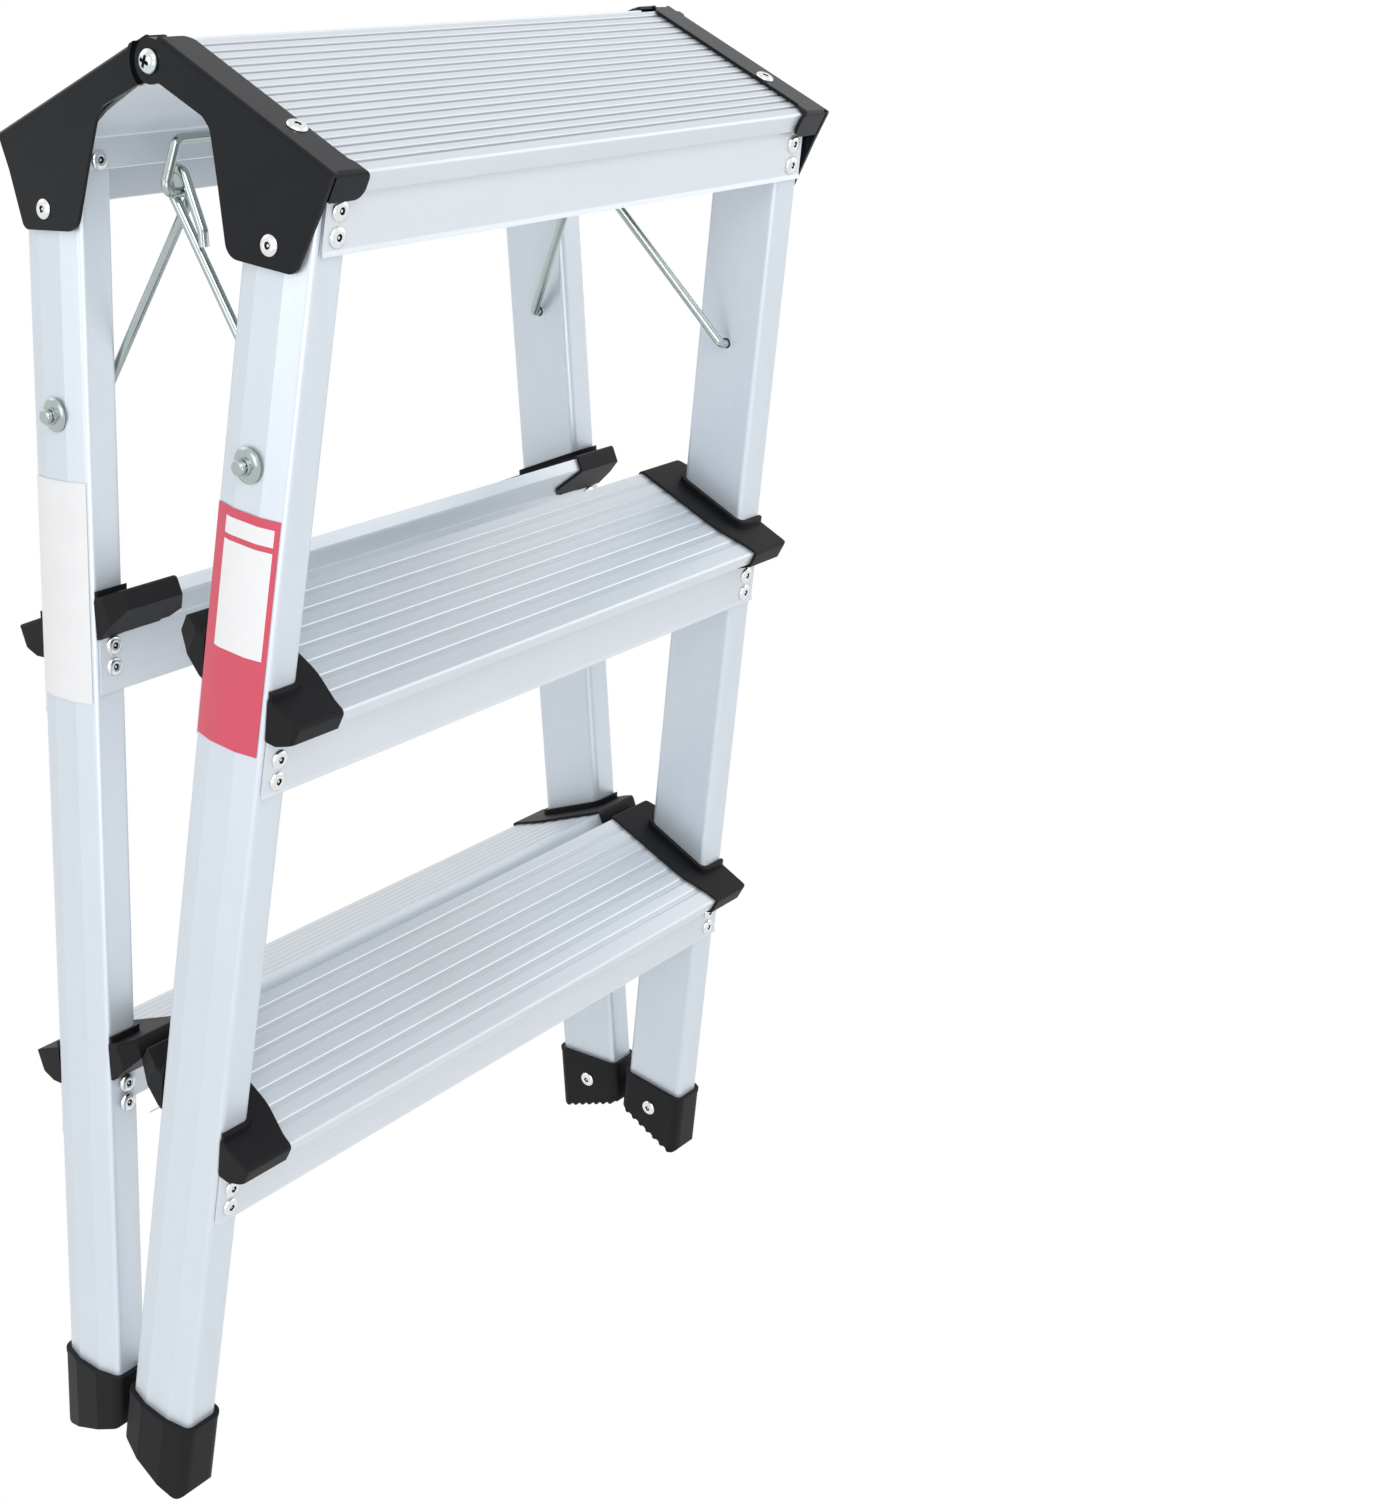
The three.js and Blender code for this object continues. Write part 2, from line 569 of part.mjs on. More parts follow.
function makeCap(place) {
  const { top, back, front, bottom, plateEnd, cornerX } = place;
  const capTop = top + CAP_SKIN;
  const outX = cornerX;
  const inX = cornerX - CAP_REACH_BACK;
  const capBack = back - CAP_SKIN;
  const capFront = front + CAP_SKIN;
  const topEdges = 5;
  const section = aroundTread(place, CAP_SKIN, []);
  const shell = solid(alongX(
    rounded(section.map(([u, z], i) => [u, z, i >= topEdges ? CAP_EDGE_RADIUS : 0])),
    inX - CAP_WING_REACH - 1,
    outX,
  ));
  const plan = rounded([
    [outX - CAP_CORNER_WIDTH, capBack, 1],
    [outX, capBack + CAP_CORNER_RUN, 1],
    [outX, capFront, CAP_EDGE_RADIUS],
    [cornerX - CAP_REACH_FRONT, capFront],
    [cornerX - CAP_REACH_FRONT - 1, capFront - TREAD_DEPTH / 10, TREAD_DEPTH / 5],
    [cornerX - CAP_REACH_MIDDLE, capFront - TREAD_DEPTH / 3, TREAD_DEPTH / 2],
    [inX, capBack],
  ]);
  const wing = [
    [inX, capBack],
    [inX + CAP_EDGE_RADIUS, capBack],
    [inX + CAP_EDGE_RADIUS, back + CAP_WING_END],
    [inX - CAP_WING_REACH / 2, back + CAP_WING_END],
    [inX - CAP_WING_REACH, back + CAP_WING_START],
  ];
  const side = [
    [inX - CAP_WING_REACH - 2, capTop + 1],
    [outX - CAP_EDGE_RADIUS / 2, capTop + 1],
    [outX, capTop - CAP_EDGE_RADIUS / 2],
    [outX, bottom],
    [inX - CAP_WING_REACH - 2, bottom],
  ];
  const within = join([
    solid(upright(plan, bottom, capTop + 1)),
    solid(upright(wing, bottom, top - TREAD_LIP_HEIGHT)),
  ]);
  const outer = shell.intersect(within).intersect(solid(alongY(side, back - 20, front + 20)));
  const room = aroundTread(place, CLEAR, [innerFace(bottom), outerFace(bottom)]);
  const cornerWall = upright([
    [outX - CAP_CORNER_WIDTH - CAP_END_WALL, capBack - 1],
    [outX + 1, capBack - 1],
    [outX + 1, capBack + CAP_CORNER_RUN],
    [outX - CAP_END_WALL, capBack + CAP_CORNER_RUN],
  ], bottom, capTop + 1);
  const hollow = solid(alongX(room, inX - 20, outX - CAP_END_WALL)).subtract(solid(cornerWall));
  const high = capTop + 2 * CAP_COLLAR_HEIGHT;
  const collarOutline = railOutline(CLEAR + CAP_COLLAR);
  const collar = solid(alongRail(upright(collarOutline, top - TREAD_NOSE_HEIGHT, capTop + CAP_COLLAR_HEIGHT)));
  const overTread = new THREE.BoxGeometry(plateEnd, 4 * TREAD_DEPTH, 2 * TREAD_DEPTH);
  overTread.translate(plateEnd / 2 + CLEAR, (front + back) / 2, top + CLEAR - TREAD_DEPTH);
  const pastEnd = upright(rectangle(outX - CAP_SKIN / 2, back - 20, 2 * outX, front + 20), bottom, high);
  const passage = upright(
    rectangle(RAIL_INNER_X + RAIL_WIDTH / 2, RAIL_BACK - CLEAR, 2 * RAIL_CORNER_X, RAIL_FRONT + CLEAR),
    bottom,
    high,
  );
  const collarWall = cut(collar, [solid(overTread), solid(pastEnd)]);
  return cut(join([outer.subtract(hollow), collarWall]), [
    railBlock(CLEAR, bottom, high),
    solid(alongRail(passage)),
  ]);
}

// ---------------------------------------------------------------- hinge plates

const PLATE_OUTLINE = [
  [0, PLATE_TOP],
  [PLATE_EDGE, PLATE_TOP],
  [PLATE_EDGE, PLATE_CORNER_Z + LEAN_SLOPE * (PLATE_EDGE - PLATE_CORNER_U), 5],
  [PLATE_CORNER_U, PLATE_CORNER_Z, 8],
  [56.8, -25.1, 30],
  [48.1, -14.5, 12],
  [42, -7.2, 6],
  [36.1, -4.9, 6],
  [0, -5.8],
];

// A flat plate, or one dished inwards round the hinge so that the flat one passes over it.
function makePlate(dished, holes) {
  const outline = rounded(PLATE_OUTLINE, 0, 4);
  const blank = solid(alongX(outline, PLATE_INNER_X, PLATE_OUTER_X));
  const low = PLATE_CORNER_Z - 20;
  const lowBox = solid(upright(rectangle(0, -20, 300, 200), low, PLATE_BEND_Z));
  const bent = geometryOf(blank.intersect(lowBox));
  bent.translate(0, 0, -PLATE_BEND_Z);
  bent.applyMatrix4(new THREE.Matrix4().set(1, 0, -FLARE, 0, 0, 1, 0, 0, 0, 0, 1, 0, 0, 0, 0, 1));
  bent.translate(0, 0, PLATE_BEND_Z);
  const slab = blank.subtract(lowBox).add(solid(bent));
  const flangeInner = PLATE_OUTER_X - FLANGE_WIDTH;
  const flange = solid(upright(rounded([
    [flangeInner, FLANGE_START, FLANGE_CORNER_RADIUS],
    [PLATE_OUTER_X, FLANGE_START],
    [PLATE_OUTER_X, PLATE_EDGE],
    [flangeInner, PLATE_EDGE],
  ]), FLANGE_BOTTOM, PLATE_TOP));
  const tabOuter = PLATE_INNER_X - TAB_SLIT;
  const tab = solid(alongY(rounded([
    [tabOuter - TAB_WIDTH, PLATE_TOP],
    [tabOuter - TAB_WIDTH, TOP_RIB_Z - TAB_DROP, 5],
    [tabOuter, TOP_RIB_Z - TAB_DROP, 1],
    [tabOuter, PLATE_TOP],
  ]), PLATE_EDGE - TAB_SHEET, PLATE_EDGE));
  const deep = DISH_INNER_X - 1;
  const past = PLATE_OUTER_X + 1;
  const hinge = (from, to, diameter) => solid(barX(from, to, 0, 0, diameter, 20));
  const folded = join([slab, flange, tab]);
  if (!dished) {
    const lobe = hinge(PLATE_INNER_X, PLATE_OUTER_X, 2 * PLATE_LOBE);
    const dishRoom = hinge(deep, PLATE_INNER_X, 2 * (PLATE_LOBE + 2 * CLEAR));
    return cut(join([folded.subtract(dishRoom), lobe]), [hinge(deep, past, SCREW_HOLE), ...holes]);
  }
  const well = 2 * (PLATE_DISH_RADIUS - PLATE_DISH_WALL);
  const deepBlank = solid(alongX(outline, DISH_INNER_X, PLATE_OUTER_X));
  const bowl = hinge(DISH_INNER_X, PLATE_OUTER_X, 2 * PLATE_DISH_RADIUS).intersect(deepBlank);
  const lobe = hinge(DISH_INNER_X, DISH_OUTER_X, 2 * PLATE_LOBE);
  const openWell = hinge(DISH_OUTER_X, past, well);
  const dish = join([bowl.subtract(openWell), lobe]);
  return cut(join([folded.subtract(openWell), dish]), [hinge(deep, past, SCREW_HOLE), ...holes]);
}

function makeHingeScrew() {
  const head = turned([
    [0, 0],
    [SCREW_HEAD / 2, 0],
    [SCREW_HEAD * 0.44, SCREW_HEAD_HEIGHT * 0.62],
    [SCREW_HEAD * 0.28, SCREW_HEAD_HEIGHT],
    [0, SCREW_HEAD_HEIGHT],
  ], 12, new THREE.Vector3(PLATE_OUTER_X + CLEAR, 0, 0), new THREE.Vector3(1, 0, 0));
  const shank = barX(DISH_INNER_X - CLEAR - NUT_HEIGHT - 1, PLATE_OUTER_X + 1, 0, 0, SCREW_SHANK, 12);
  const slotAt = PLATE_OUTER_X + SCREW_HEAD_HEIGHT + CLEAR;
  const slots = [[2.6, 0.7], [0.7, 2.6]].map(([y, z]) => {
    const slot = new THREE.BoxGeometry(2.4, 2 * y, 2 * z);
    return solid(slot.translate(slotAt, 0, 0));
  });
  return cut(solid(head).add(solid(shank)), slots);
}

function makeHingeNut() {
  const to = DISH_INNER_X - CLEAR;
  const nut = barX(to - NUT_HEIGHT, to, 0, 0, NUT_ACROSS, 6);
  return solid(nut).subtract(solid(barX(to - 10, to + 10, 0, 0, SCREW_HOLE, 12)));
}

// ---------------------------------------------------------------- rivets

const FRONT_NORMAL = new THREE.Vector3(0, 1, LEAN_SLOPE).normalize();
const BACK_NORMAL = FRONT_NORMAL.clone().negate();
const OUTER_NORMAL = new THREE.Vector3(1, 0, FLARE).normalize();
const INNER_NORMAL = OUTER_NORMAL.clone().negate();

// Each rivet is the point on its sheet's face, the face's normal and the depth of metal it holds.
// These hold a tread's two aprons to the rail on its +X side.
function apronRivetPlaces(top, { outer, inner }) {
  const face = CLEAR + APRON_SKIN;
  const grip = face + RAIL_WALL;
  const place = (u, z, normal) =>
    ({ point: new THREE.Vector3(flared(RAIL_CORNER_X, z) - RIVET_INSET, u, z), normal, grip });
  return [
    ...outer.map((drop) => place(railFront(top - drop) + face, top - drop, FRONT_NORMAL)),
    ...inner.map((drop) => place(railBack(top - drop) - face, top - drop, BACK_NORMAL)),
  ];
}

function plateRivetPlace() {
  const z = TOP_RIB_Z - PLATE_RIVET_DROP;
  const point = new THREE.Vector3(flared(RAIL_OUTER_X + CLEAR + PLATE_SHEET, z), railCentre(z), z);
  return { point, normal: OUTER_NORMAL, grip: PLATE_SHEET + CLEAR + RAIL_WALL };
}

function flangeRivetPlace() {
  const point = new THREE.Vector3(PLATE_OUTER_X - FLANGE_RIVET_INSET, FLANGE_RIVET_U, PLATE_TOP);
  return { point, normal: new THREE.Vector3(0, 0, 1), grip: PLATE_TOP - TOP_UNDERSIDE };
}

function footRivetPlace() {
  const z = TOP_RIB_Z - FOOT_RIVET_DROP;
  const x = flared(RAIL_INNER_X, z) - CLEAR - FOOT_WALL;
  return {
    point: new THREE.Vector3(x, railCentre(z), z),
    normal: INNER_NORMAL,
    grip: FOOT_WALL + CLEAR + RAIL_WALL,
  };
}

function makeRivet({ point, normal, grip }, lift = CLEAR) {
  const head = RIVET_HEAD / 2;
  const shank = RIVET_SHANK / 2;
  const tail = -grip - RIVET_TAIL - lift;
  const base = point.clone().addScaledVector(normal, lift);
  const profile = [[0, tail], [shank, tail], [shank, 0], [head, 0], [head * 0.6, RIVET_DOME * 0.8],
    [0, RIVET_DOME]];
  return solid(turned(profile, 8, base, normal));
}

// A tread's own rivets are one piece with it, their heads sunk a little into its aprons.
function treadRivets(top, drops) {
  const side = apronRivetPlaces(top, drops).map((place) => makeRivet(place, -RIVET_SINK));
  return [...side, ...side.map(mirrored)];
}

function rivetHole({ point, normal, grip }) {
  const from = point.clone().addScaledVector(normal, 3);
  const to = point.clone().addScaledVector(normal, -grip - RIVET_TAIL - CLEAR - 1);
  return solid(bar(from, to, RIVET_HOLE, 8));
}

// ---------------------------------------------------------------- labels

// A thin label that follows the rail's crowned outer face.
function makeLabel({ top, bottom }) {
  const [, backCorner, backCrown, frontCrown, frontCorner] = RAIL_SECTION;
  const slope = RAIL_CROWN / RAIL_SIDE_FACET;
  const from = backCorner[1] + LABEL_MARGIN;
  const to = frontCorner[1] - LABEL_MARGIN;
  const inner = CLEAR;
  const outer = CLEAR + LABEL_SHEET;
  const startX = RAIL_CORNER_X + (from - backCorner[1]) * slope;
  const strip = (lift) => [
    [startX + lift, from],
    [backCrown[0] + lift, backCrown[1]],
    [frontCrown[0] + lift, frontCrown[1]],
    [startX + lift, to],
  ];
  const outline = [...strip(outer), ...strip(inner).reverse()];
  const [low, high] = [TOP_RIB_Z - bottom, TOP_RIB_Z - top];
  const sheet = solid(alongRail(upright(outline, low - RAIL_DEPTH, high + RAIL_DEPTH)));
  return cut(sheet, [pastSquareCut(high, 1), pastSquareCut(low, -1)]);
}

// ---------------------------------------------------------------- spreader rods

// A path whose rings stand exactly on the given points.
class RodPath extends THREE.Curve {
  constructor(points) {
    super();
    this.points = points;
  }

  getPointAt(t, target = new THREE.Vector3()) {
    return target.copy(this.points[Math.round(t * (this.points.length - 1))]);
  }

  getTangentAt(t, target = new THREE.Vector3()) {
    const i = Math.round(t * (this.points.length - 1));
    const before = this.points[Math.max(i - 1, 0)];
    const after = this.points[Math.min(i + 1, this.points.length - 1)];
    const here = this.points[i];
    const into = here.clone().sub(before).normalize();
    const out = after.clone().sub(here).normalize();
    return target.copy(into.add(out).normalize());
  }
}

// Rounds the bends of a line through points in space.
function bentLine(corners, radius) {
  const points = [corners[0]];
  for (let i = 1; i < corners.length - 1; i += 1) {
    const here = corners[i];
    const back = corners[i - 1].clone().sub(here);
    const ahead = corners[i + 1].clone().sub(here);
    const room = Math.min(back.length(), ahead.length()) * 0.48;
    back.normalize();
    ahead.normalize();
    const half = back.angleTo(ahead) / 2;
    const reach = Math.min(radius / Math.tan(half), room);
    const arcRadius = reach * Math.tan(half);
    const toCentre = back.clone().add(ahead).normalize().multiplyScalar(arcRadius / Math.sin(half));
    const centre = here.clone().add(toCentre);
    const first = here.clone().addScaledVector(back, reach).sub(centre);
    const last = here.clone().addScaledVector(ahead, reach).sub(centre);
    const axis = first.clone().cross(last).normalize();
    const sweep = first.angleTo(last);
    for (let step = 0; step <= ROD_BEND_STEPS; step += 1) {
      points.push(first.clone().applyAxisAngle(axis, (sweep * step) / ROD_BEND_STEPS).add(centre));
    }
  }
  points.push(corners[corners.length - 1]);
  return points;
}

function sweptRod(points) {
  const circle = [];
  for (let i = 0; i < ROD_SIDES; i += 1) {
    const angle = (2 * Math.PI * i) / ROD_SIDES;
    circle.push(new THREE.Vector2(Math.cos(angle) * ROD / 2, Math.sin(angle) * ROD / 2));
  }
  return solid(new THREE.ExtrudeGeometry(new THREE.Shape(circle), {
    steps: points.length - 1,
    bevelEnabled: false,
    extrudePath: new RodPath(points),
  }));
}

// The pivots and the eye with the ladder folded, in the hinge's frame.
const FOLD_SIN = Math.sin(THREE.MathUtils.degToRad(FOLD));
const FOLD_COS = Math.cos(THREE.MathUtils.degToRad(FOLD));
const PIVOT_Y = PIVOT_U * FOLD_COS + PIVOT_Z * FOLD_SIN;
const PIVOT_HEIGHT = PIVOT_Z * FOLD_COS - PIVOT_U * FOLD_SIN;
const EYE_HEIGHT = PIVOT_HEIGHT + Math.sqrt(BAIL_ARM ** 2 - PIVOT_Y ** 2);
const ROD_OUTER_X = flared(RAIL_OUTER_X, PIVOT_Z) + ROD_END;
const ROD_TURN_X = flared(RAIL_INNER_X, PIVOT_Z) - ROD_TURN_IN;

function rodHead(side, y) {
  const at = (x) => new THREE.Vector3(side * x, y, PIVOT_HEIGHT);
  return solid(bar(at(ROD_OUTER_X - ROD_HEAD_LENGTH), at(ROD_OUTER_X), ROD_HEAD, 10));
}

function makeRearBail() {
  const at = (x, y, z) => new THREE.Vector3(x, y, z);
  const barZ = EYE_HEIGHT + BAIL_RISE;
  const corners = [
    at(-ROD_OUTER_X + 0.5, PIVOT_Y, PIVOT_HEIGHT),
    at(-ROD_TURN_X, PIVOT_Y, PIVOT_HEIGHT),
    at(-BAIL_NEAR.arm, 0, EYE_HEIGHT),
    at(-BAIL_NEAR.loop, 0, EYE_HEIGHT),
    at(-BAIL_NEAR.bar, 0, barZ),
    at(BAIL_FAR.bar, 0, barZ),
    at(BAIL_FAR.loop, 0, EYE_HEIGHT),
    at(BAIL_FAR.arm, 0, EYE_HEIGHT),
    at(ROD_TURN_X, PIVOT_Y, PIVOT_HEIGHT),
    at(ROD_OUTER_X - 0.5, PIVOT_Y, PIVOT_HEIGHT),
  ];
  return join([sweptRod(bentLine(corners, ROD_BEND)), rodHead(-1, PIVOT_Y), rodHead(1, PIVOT_Y)]);
}

// A link's arm with the hook round the bail. The hook's other leg would close it into an eye.
function makeFrontLink(side, eyeX) {
  const angle = Math.atan2(EYE_HEIGHT - PIVOT_HEIGHT, PIVOT_Y);
  const along = new THREE.Vector3(0, Math.cos(angle), Math.sin(angle));
  const across = new THREE.Vector3(0, Math.sin(angle), -Math.cos(angle));
  const hookRadius = ROD + EYE_GAP;
  const openReach = 2 * PIVOT_U - BAIL_ARM;
  const hookCentre = openReach + EYE_SLACK - EYE_GAP;
  const inPlane = (x, a, b) =>
    new THREE.Vector3(x, -PIVOT_Y, PIVOT_HEIGHT).addScaledVector(along, a).addScaledVector(across, b);
  const arm = bentLine([
    inPlane(side * (ROD_OUTER_X - 0.5), 0, 0),
    inPlane(side * ROD_TURN_X, 0, 0),
    inPlane(side * eyeX, hookCentre, hookRadius),
  ], ROD_BEND);
  const hook = [];
  const turns = 8;
  for (let i = 1; i <= turns; i += 1) {
    const turn = (Math.PI * i) / turns;
    hook.push(inPlane(side * eyeX, hookCentre + hookRadius * Math.sin(turn), hookRadius * Math.cos(turn)));
  }
  return join([sweptRod([...arm, ...hook]), rodHead(side, -PIVOT_Y)]);
}

function makeRodCap(side, y) {
  const bore = ROD_HOLE / 2;
  const rim = ROD_CAP / 2;
  const collar = ROD_CAP_COLLAR / 2;
  const profile = [[bore, 0], [rim, 0], [rim, 0.6], [rim * 0.8, ROD_CAP_DOME], [collar, ROD_CAP_DOME + 0.3],
    [collar * 0.92, ROD_CAP_HEIGHT], [bore, ROD_CAP_HEIGHT], [bore, 0]];
  const seat = flared(RAIL_OUTER_X, PIVOT_Z) + CLEAR + FLARE * rim;
  const point = new THREE.Vector3(side * seat, y, PIVOT_HEIGHT);
  return solid(turned(profile, 12, point, new THREE.Vector3(side, 0, 0)));
}

// ---------------------------------------------------------------- assembly

function piece(name, body, material) {
  const mesh = new THREE.Mesh(geometryOf(body), material);
  mesh.name = name;
  return mesh;
}

const treadPlaces = Object.entries(TREAD_DROPS).map(([level, drop]) => [level, treadPlace(drop)]);
const apronHoles = [
  ...apronRivetPlaces(TOP_RIB_Z, TOP_RIVETS),
  ...treadPlaces.flatMap(([, { top }]) => apronRivetPlaces(top, TREAD_RIVETS)),
].map(rivetHole);
const plateHole = rivetHole(plateRivetPlace());
const flangeHole = rivetHole(flangeRivetPlace());
const footHole = rivetHole(footRivetPlace());

// One frame in its open position. Its flat plate is on its +X side and its dished one on -X.
function makeFrame(name, [firstSide, secondSide], label, labelMaterial) {
  const frame = new THREE.Group();
  const put = (part, body, material) => frame.add(piece(`${name}_${part}`, body, material));
  const putPair = (part, body, material) => {
    put(`${part}_${firstSide}`, body, material);
    put(`${part}_${secondSide}`, mirrored(body), material);
  };
  putPair('rail', makeRail([...apronHoles, plateHole, footHole]), ALUMINIUM);
  putPair('foot', makeFoot([footHole]), BLACK_PLASTIC);
  putPair('foot_rivet', makeRivet(footRivetPlace()), RIVET_METAL);
  put(`plate_${firstSide}`, makePlate(false, [plateHole, flangeHole]), BLACK_PLATE);
  put(`plate_${secondSide}`, mirrored(makePlate(true, [plateHole, flangeHole])), BLACK_PLATE);
  putPair('plate_rivet', makeRivet(plateRivetPlace()), RIVET_METAL);
  putPair('flange_rivet', makeRivet(flangeRivetPlace()), RIVET_METAL);
  put('top_tread', makeTopTread([flangeHole, mirrored(flangeHole)]), TREAD_ALUMINIUM);
  for (const [level, place] of treadPlaces) {
    put(`${level}_tread`, makeTread(place), TREAD_ALUMINIUM);
    putPair(`${level}_cap`, makeCap(place), BLACK_PLASTIC);
  }
  const labelBody = makeLabel(label);
  put('label', firstSide === 'left' ? labelBody : mirrored(labelBody), labelMaterial);
  frame.rotation.x = THREE.MathUtils.degToRad(-FOLD);
  return frame;
}

const ladder = new THREE.Group();
const rear = makeFrame('rear', ['right', 'left'], REAR_LABEL, WHITE_LABEL);
const front = new THREE.Group();
front.add(makeFrame('front', ['left', 'right'], FRONT_LABEL, RED_LABEL));
front.rotation.z = Math.PI;
ladder.add(rear, front);

const screw = makeHingeScrew();
const nut = makeHingeNut();
const nearEye = (BAIL_NEAR.arm + BAIL_NEAR.loop) / 2;
const farEye = (BAIL_FAR.arm + BAIL_FAR.loop) / 2;
ladder.add(piece('hinge_screw_left', mirrored(screw), ZINC));
ladder.add(piece('hinge_screw_right', screw, ZINC));
ladder.add(piece('hinge_nut_left', mirrored(nut), ZINC));
ladder.add(piece('hinge_nut_right', nut, ZINC));
ladder.add(piece('rear_bail', makeRearBail(), ZINC));
ladder.add(piece('front_link_left', makeFrontLink(-1, nearEye), ZINC));
ladder.add(piece('front_link_right', makeFrontLink(1, farEye), ZINC));
for (const [side, name] of [[-1, 'left'], [1, 'right']]) {
  ladder.add(piece(`rear_bail_cap_${name}`, makeRodCap(side, PIVOT_Y), ZINC));
  ladder.add(piece(`front_link_cap_${name}`, makeRodCap(side, -PIVOT_Y), ZINC));
}

// The folded ladder stands on the lowest corners of its soles.
ladder.updateMatrixWorld(true);
ladder.position.z = -new THREE.Box3().setFromObject(ladder, true).min.z;

export default ladder;
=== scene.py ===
"""A folding double-sided step ladder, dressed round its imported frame. Lengths are metres."""

import json
import math

import bpy
from bpy.props import FloatProperty, FloatVectorProperty, IntProperty, PointerProperty
from bpy.types import Operator, Panel, PropertyGroup
from mathutils import Matrix, Vector


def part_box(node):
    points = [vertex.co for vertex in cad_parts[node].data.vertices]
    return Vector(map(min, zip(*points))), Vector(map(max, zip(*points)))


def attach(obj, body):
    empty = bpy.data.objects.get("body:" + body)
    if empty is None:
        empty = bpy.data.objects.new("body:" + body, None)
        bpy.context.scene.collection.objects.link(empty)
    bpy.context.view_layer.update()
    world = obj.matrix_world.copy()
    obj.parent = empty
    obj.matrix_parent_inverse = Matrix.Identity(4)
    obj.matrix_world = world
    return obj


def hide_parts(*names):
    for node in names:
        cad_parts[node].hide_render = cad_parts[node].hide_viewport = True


bl_info = {
    "name": "Folding Step Ladder",
    "version": (1, 0, 0),
    "blender": (4, 5, 0),
    "location": "View3D > Sidebar > Step ladder",
    "description": "Builds the visible pieces of a folding step ladder",
    "category": "Object",
}

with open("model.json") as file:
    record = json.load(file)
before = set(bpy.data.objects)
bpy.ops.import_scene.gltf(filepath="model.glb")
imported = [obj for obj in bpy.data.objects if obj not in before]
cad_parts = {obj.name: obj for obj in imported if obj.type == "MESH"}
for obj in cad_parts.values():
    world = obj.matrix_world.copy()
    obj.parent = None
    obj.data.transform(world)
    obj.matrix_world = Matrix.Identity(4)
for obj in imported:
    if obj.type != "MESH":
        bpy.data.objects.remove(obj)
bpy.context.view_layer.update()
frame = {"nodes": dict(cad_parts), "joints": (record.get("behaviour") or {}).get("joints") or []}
MM = 0.001
JOINTS = {joint["name"]: joint for joint in frame["joints"]}
HINGE_Z = JOINTS["rear_open"]["pos_m"][2]
FOLD = math.radians(JOINTS["rear_open"]["range_deg"][1])
PIVOT = Vector(JOINTS["rear_bail_turn"]["pos_m"])
SIDES = {1: "right", -1: "left"}


# ------------------------------------------------------------------ sizes and colours

def length(name, description, default):
    return FloatProperty(name=name, description=description, default=default, unit="LENGTH", precision=4)


def tint(name, description, default):
    return FloatVectorProperty(name=name, description=description, default=default, subtype="COLOR",
                               min=0, max=1)


class RailSizes(PropertyGroup):
    lean: FloatProperty(name="Lean", description="Each rail's lean with the ladder open",
                        default=math.radians(20.45), subtype="ANGLE")
    flare: FloatProperty(name="Flare", description="Half-width gained for each unit of height lost",
                         default=0.074)
    back: length("Back face", "Rail's back face from the hinge axis, level with it", 59.6 * MM)
    depth: length("Depth", "Rail's depth square to its length", 39.5 * MM)
    corner_x: length("Outer corners", "Outer corners from the ladder's middle", 173.2 * MM)
    width: length("Width", "From the inner face to the outer corners", 18.5 * MM)
    crown: length("Crown", "How far the outer face is crowned", 3 * MM)
    facet: length("Side facet", "Width of the crown's two side facets", 13 * MM)
    radius: length("Corner radius", "Rounding of the rail's corners", 3.6 * MM)
    top: length("Top end", "Rail's top end above the hinge axis", 7 * MM)
    edge: length("Facet edge", "Rounding between the outer face's facets", 1.5 * MM)
    clear: length("Clearance", "Gap between pieces that touch", 0.3 * MM)
    hole: length("Rod hole", "Radius of the spreader's hole", 2.8 * MM)


class TreadSizes(PropertyGroup):
    rib_z: length("Rib tops", "Top tread's rib tops above the hinge axis", 9.3 * MM)
    mid_drop: length("Middle drop", "Middle tread below the top tread", 210.9 * MM)
    bottom_drop: length("Bottom drop", "Bottom tread below the top tread", 415.1 * MM)
    depth: length("Depth", "Middle and bottom treads from back to nose", 76.5 * MM)
    offset: length("Offset", "Tread's middle ahead of the rail's middle", 1.1 * MM)
    nose: length("Nose", "Height of the nose", 7.5 * MM)
    neck_drop: length("Neck drop", "Rib tops down to the knee under the nose", 13.5 * MM)
    neck_back: length("Neck back", "Knee behind the nose", 6.6 * MM)
    lip: length("Back lip", "Height of the back lip", 7 * MM)
    slope: length("Slopes", "Rib tops down to the end of both slopes", 15 * MM)
    apron: length("Apron", "Rib tops down to the aprons' lower edges", 41.5 * MM)
    sheet: length("Sheet", "Thickness of a lower tread's plate", 1.3 * MM)
    skin: length("Skin", "Thickness of the aprons", 1.5 * MM)
    bead: length("Bead", "Bead along the outer aprons' lower edge", 0.7 * MM)
    bead_height: length("Bead height", "Height of the bead", 2.6 * MM)
    ribs: IntProperty(name="Ribs", description="Ribs on a middle or bottom tread", default=8, min=4)
    rib_height: length("Rib height", "Height of a lower tread's ribs", 0.7 * MM)
    end_gap: length("End gap", "Tread plate's end to the rail", 2.8 * MM)
    apron_end: length("Apron end", "Apron's end inside the rail's outer corner", 2 * MM)
    apron_gap: length("Apron gap", "Slopes down to the apron ends' upper edge", 2 * MM)


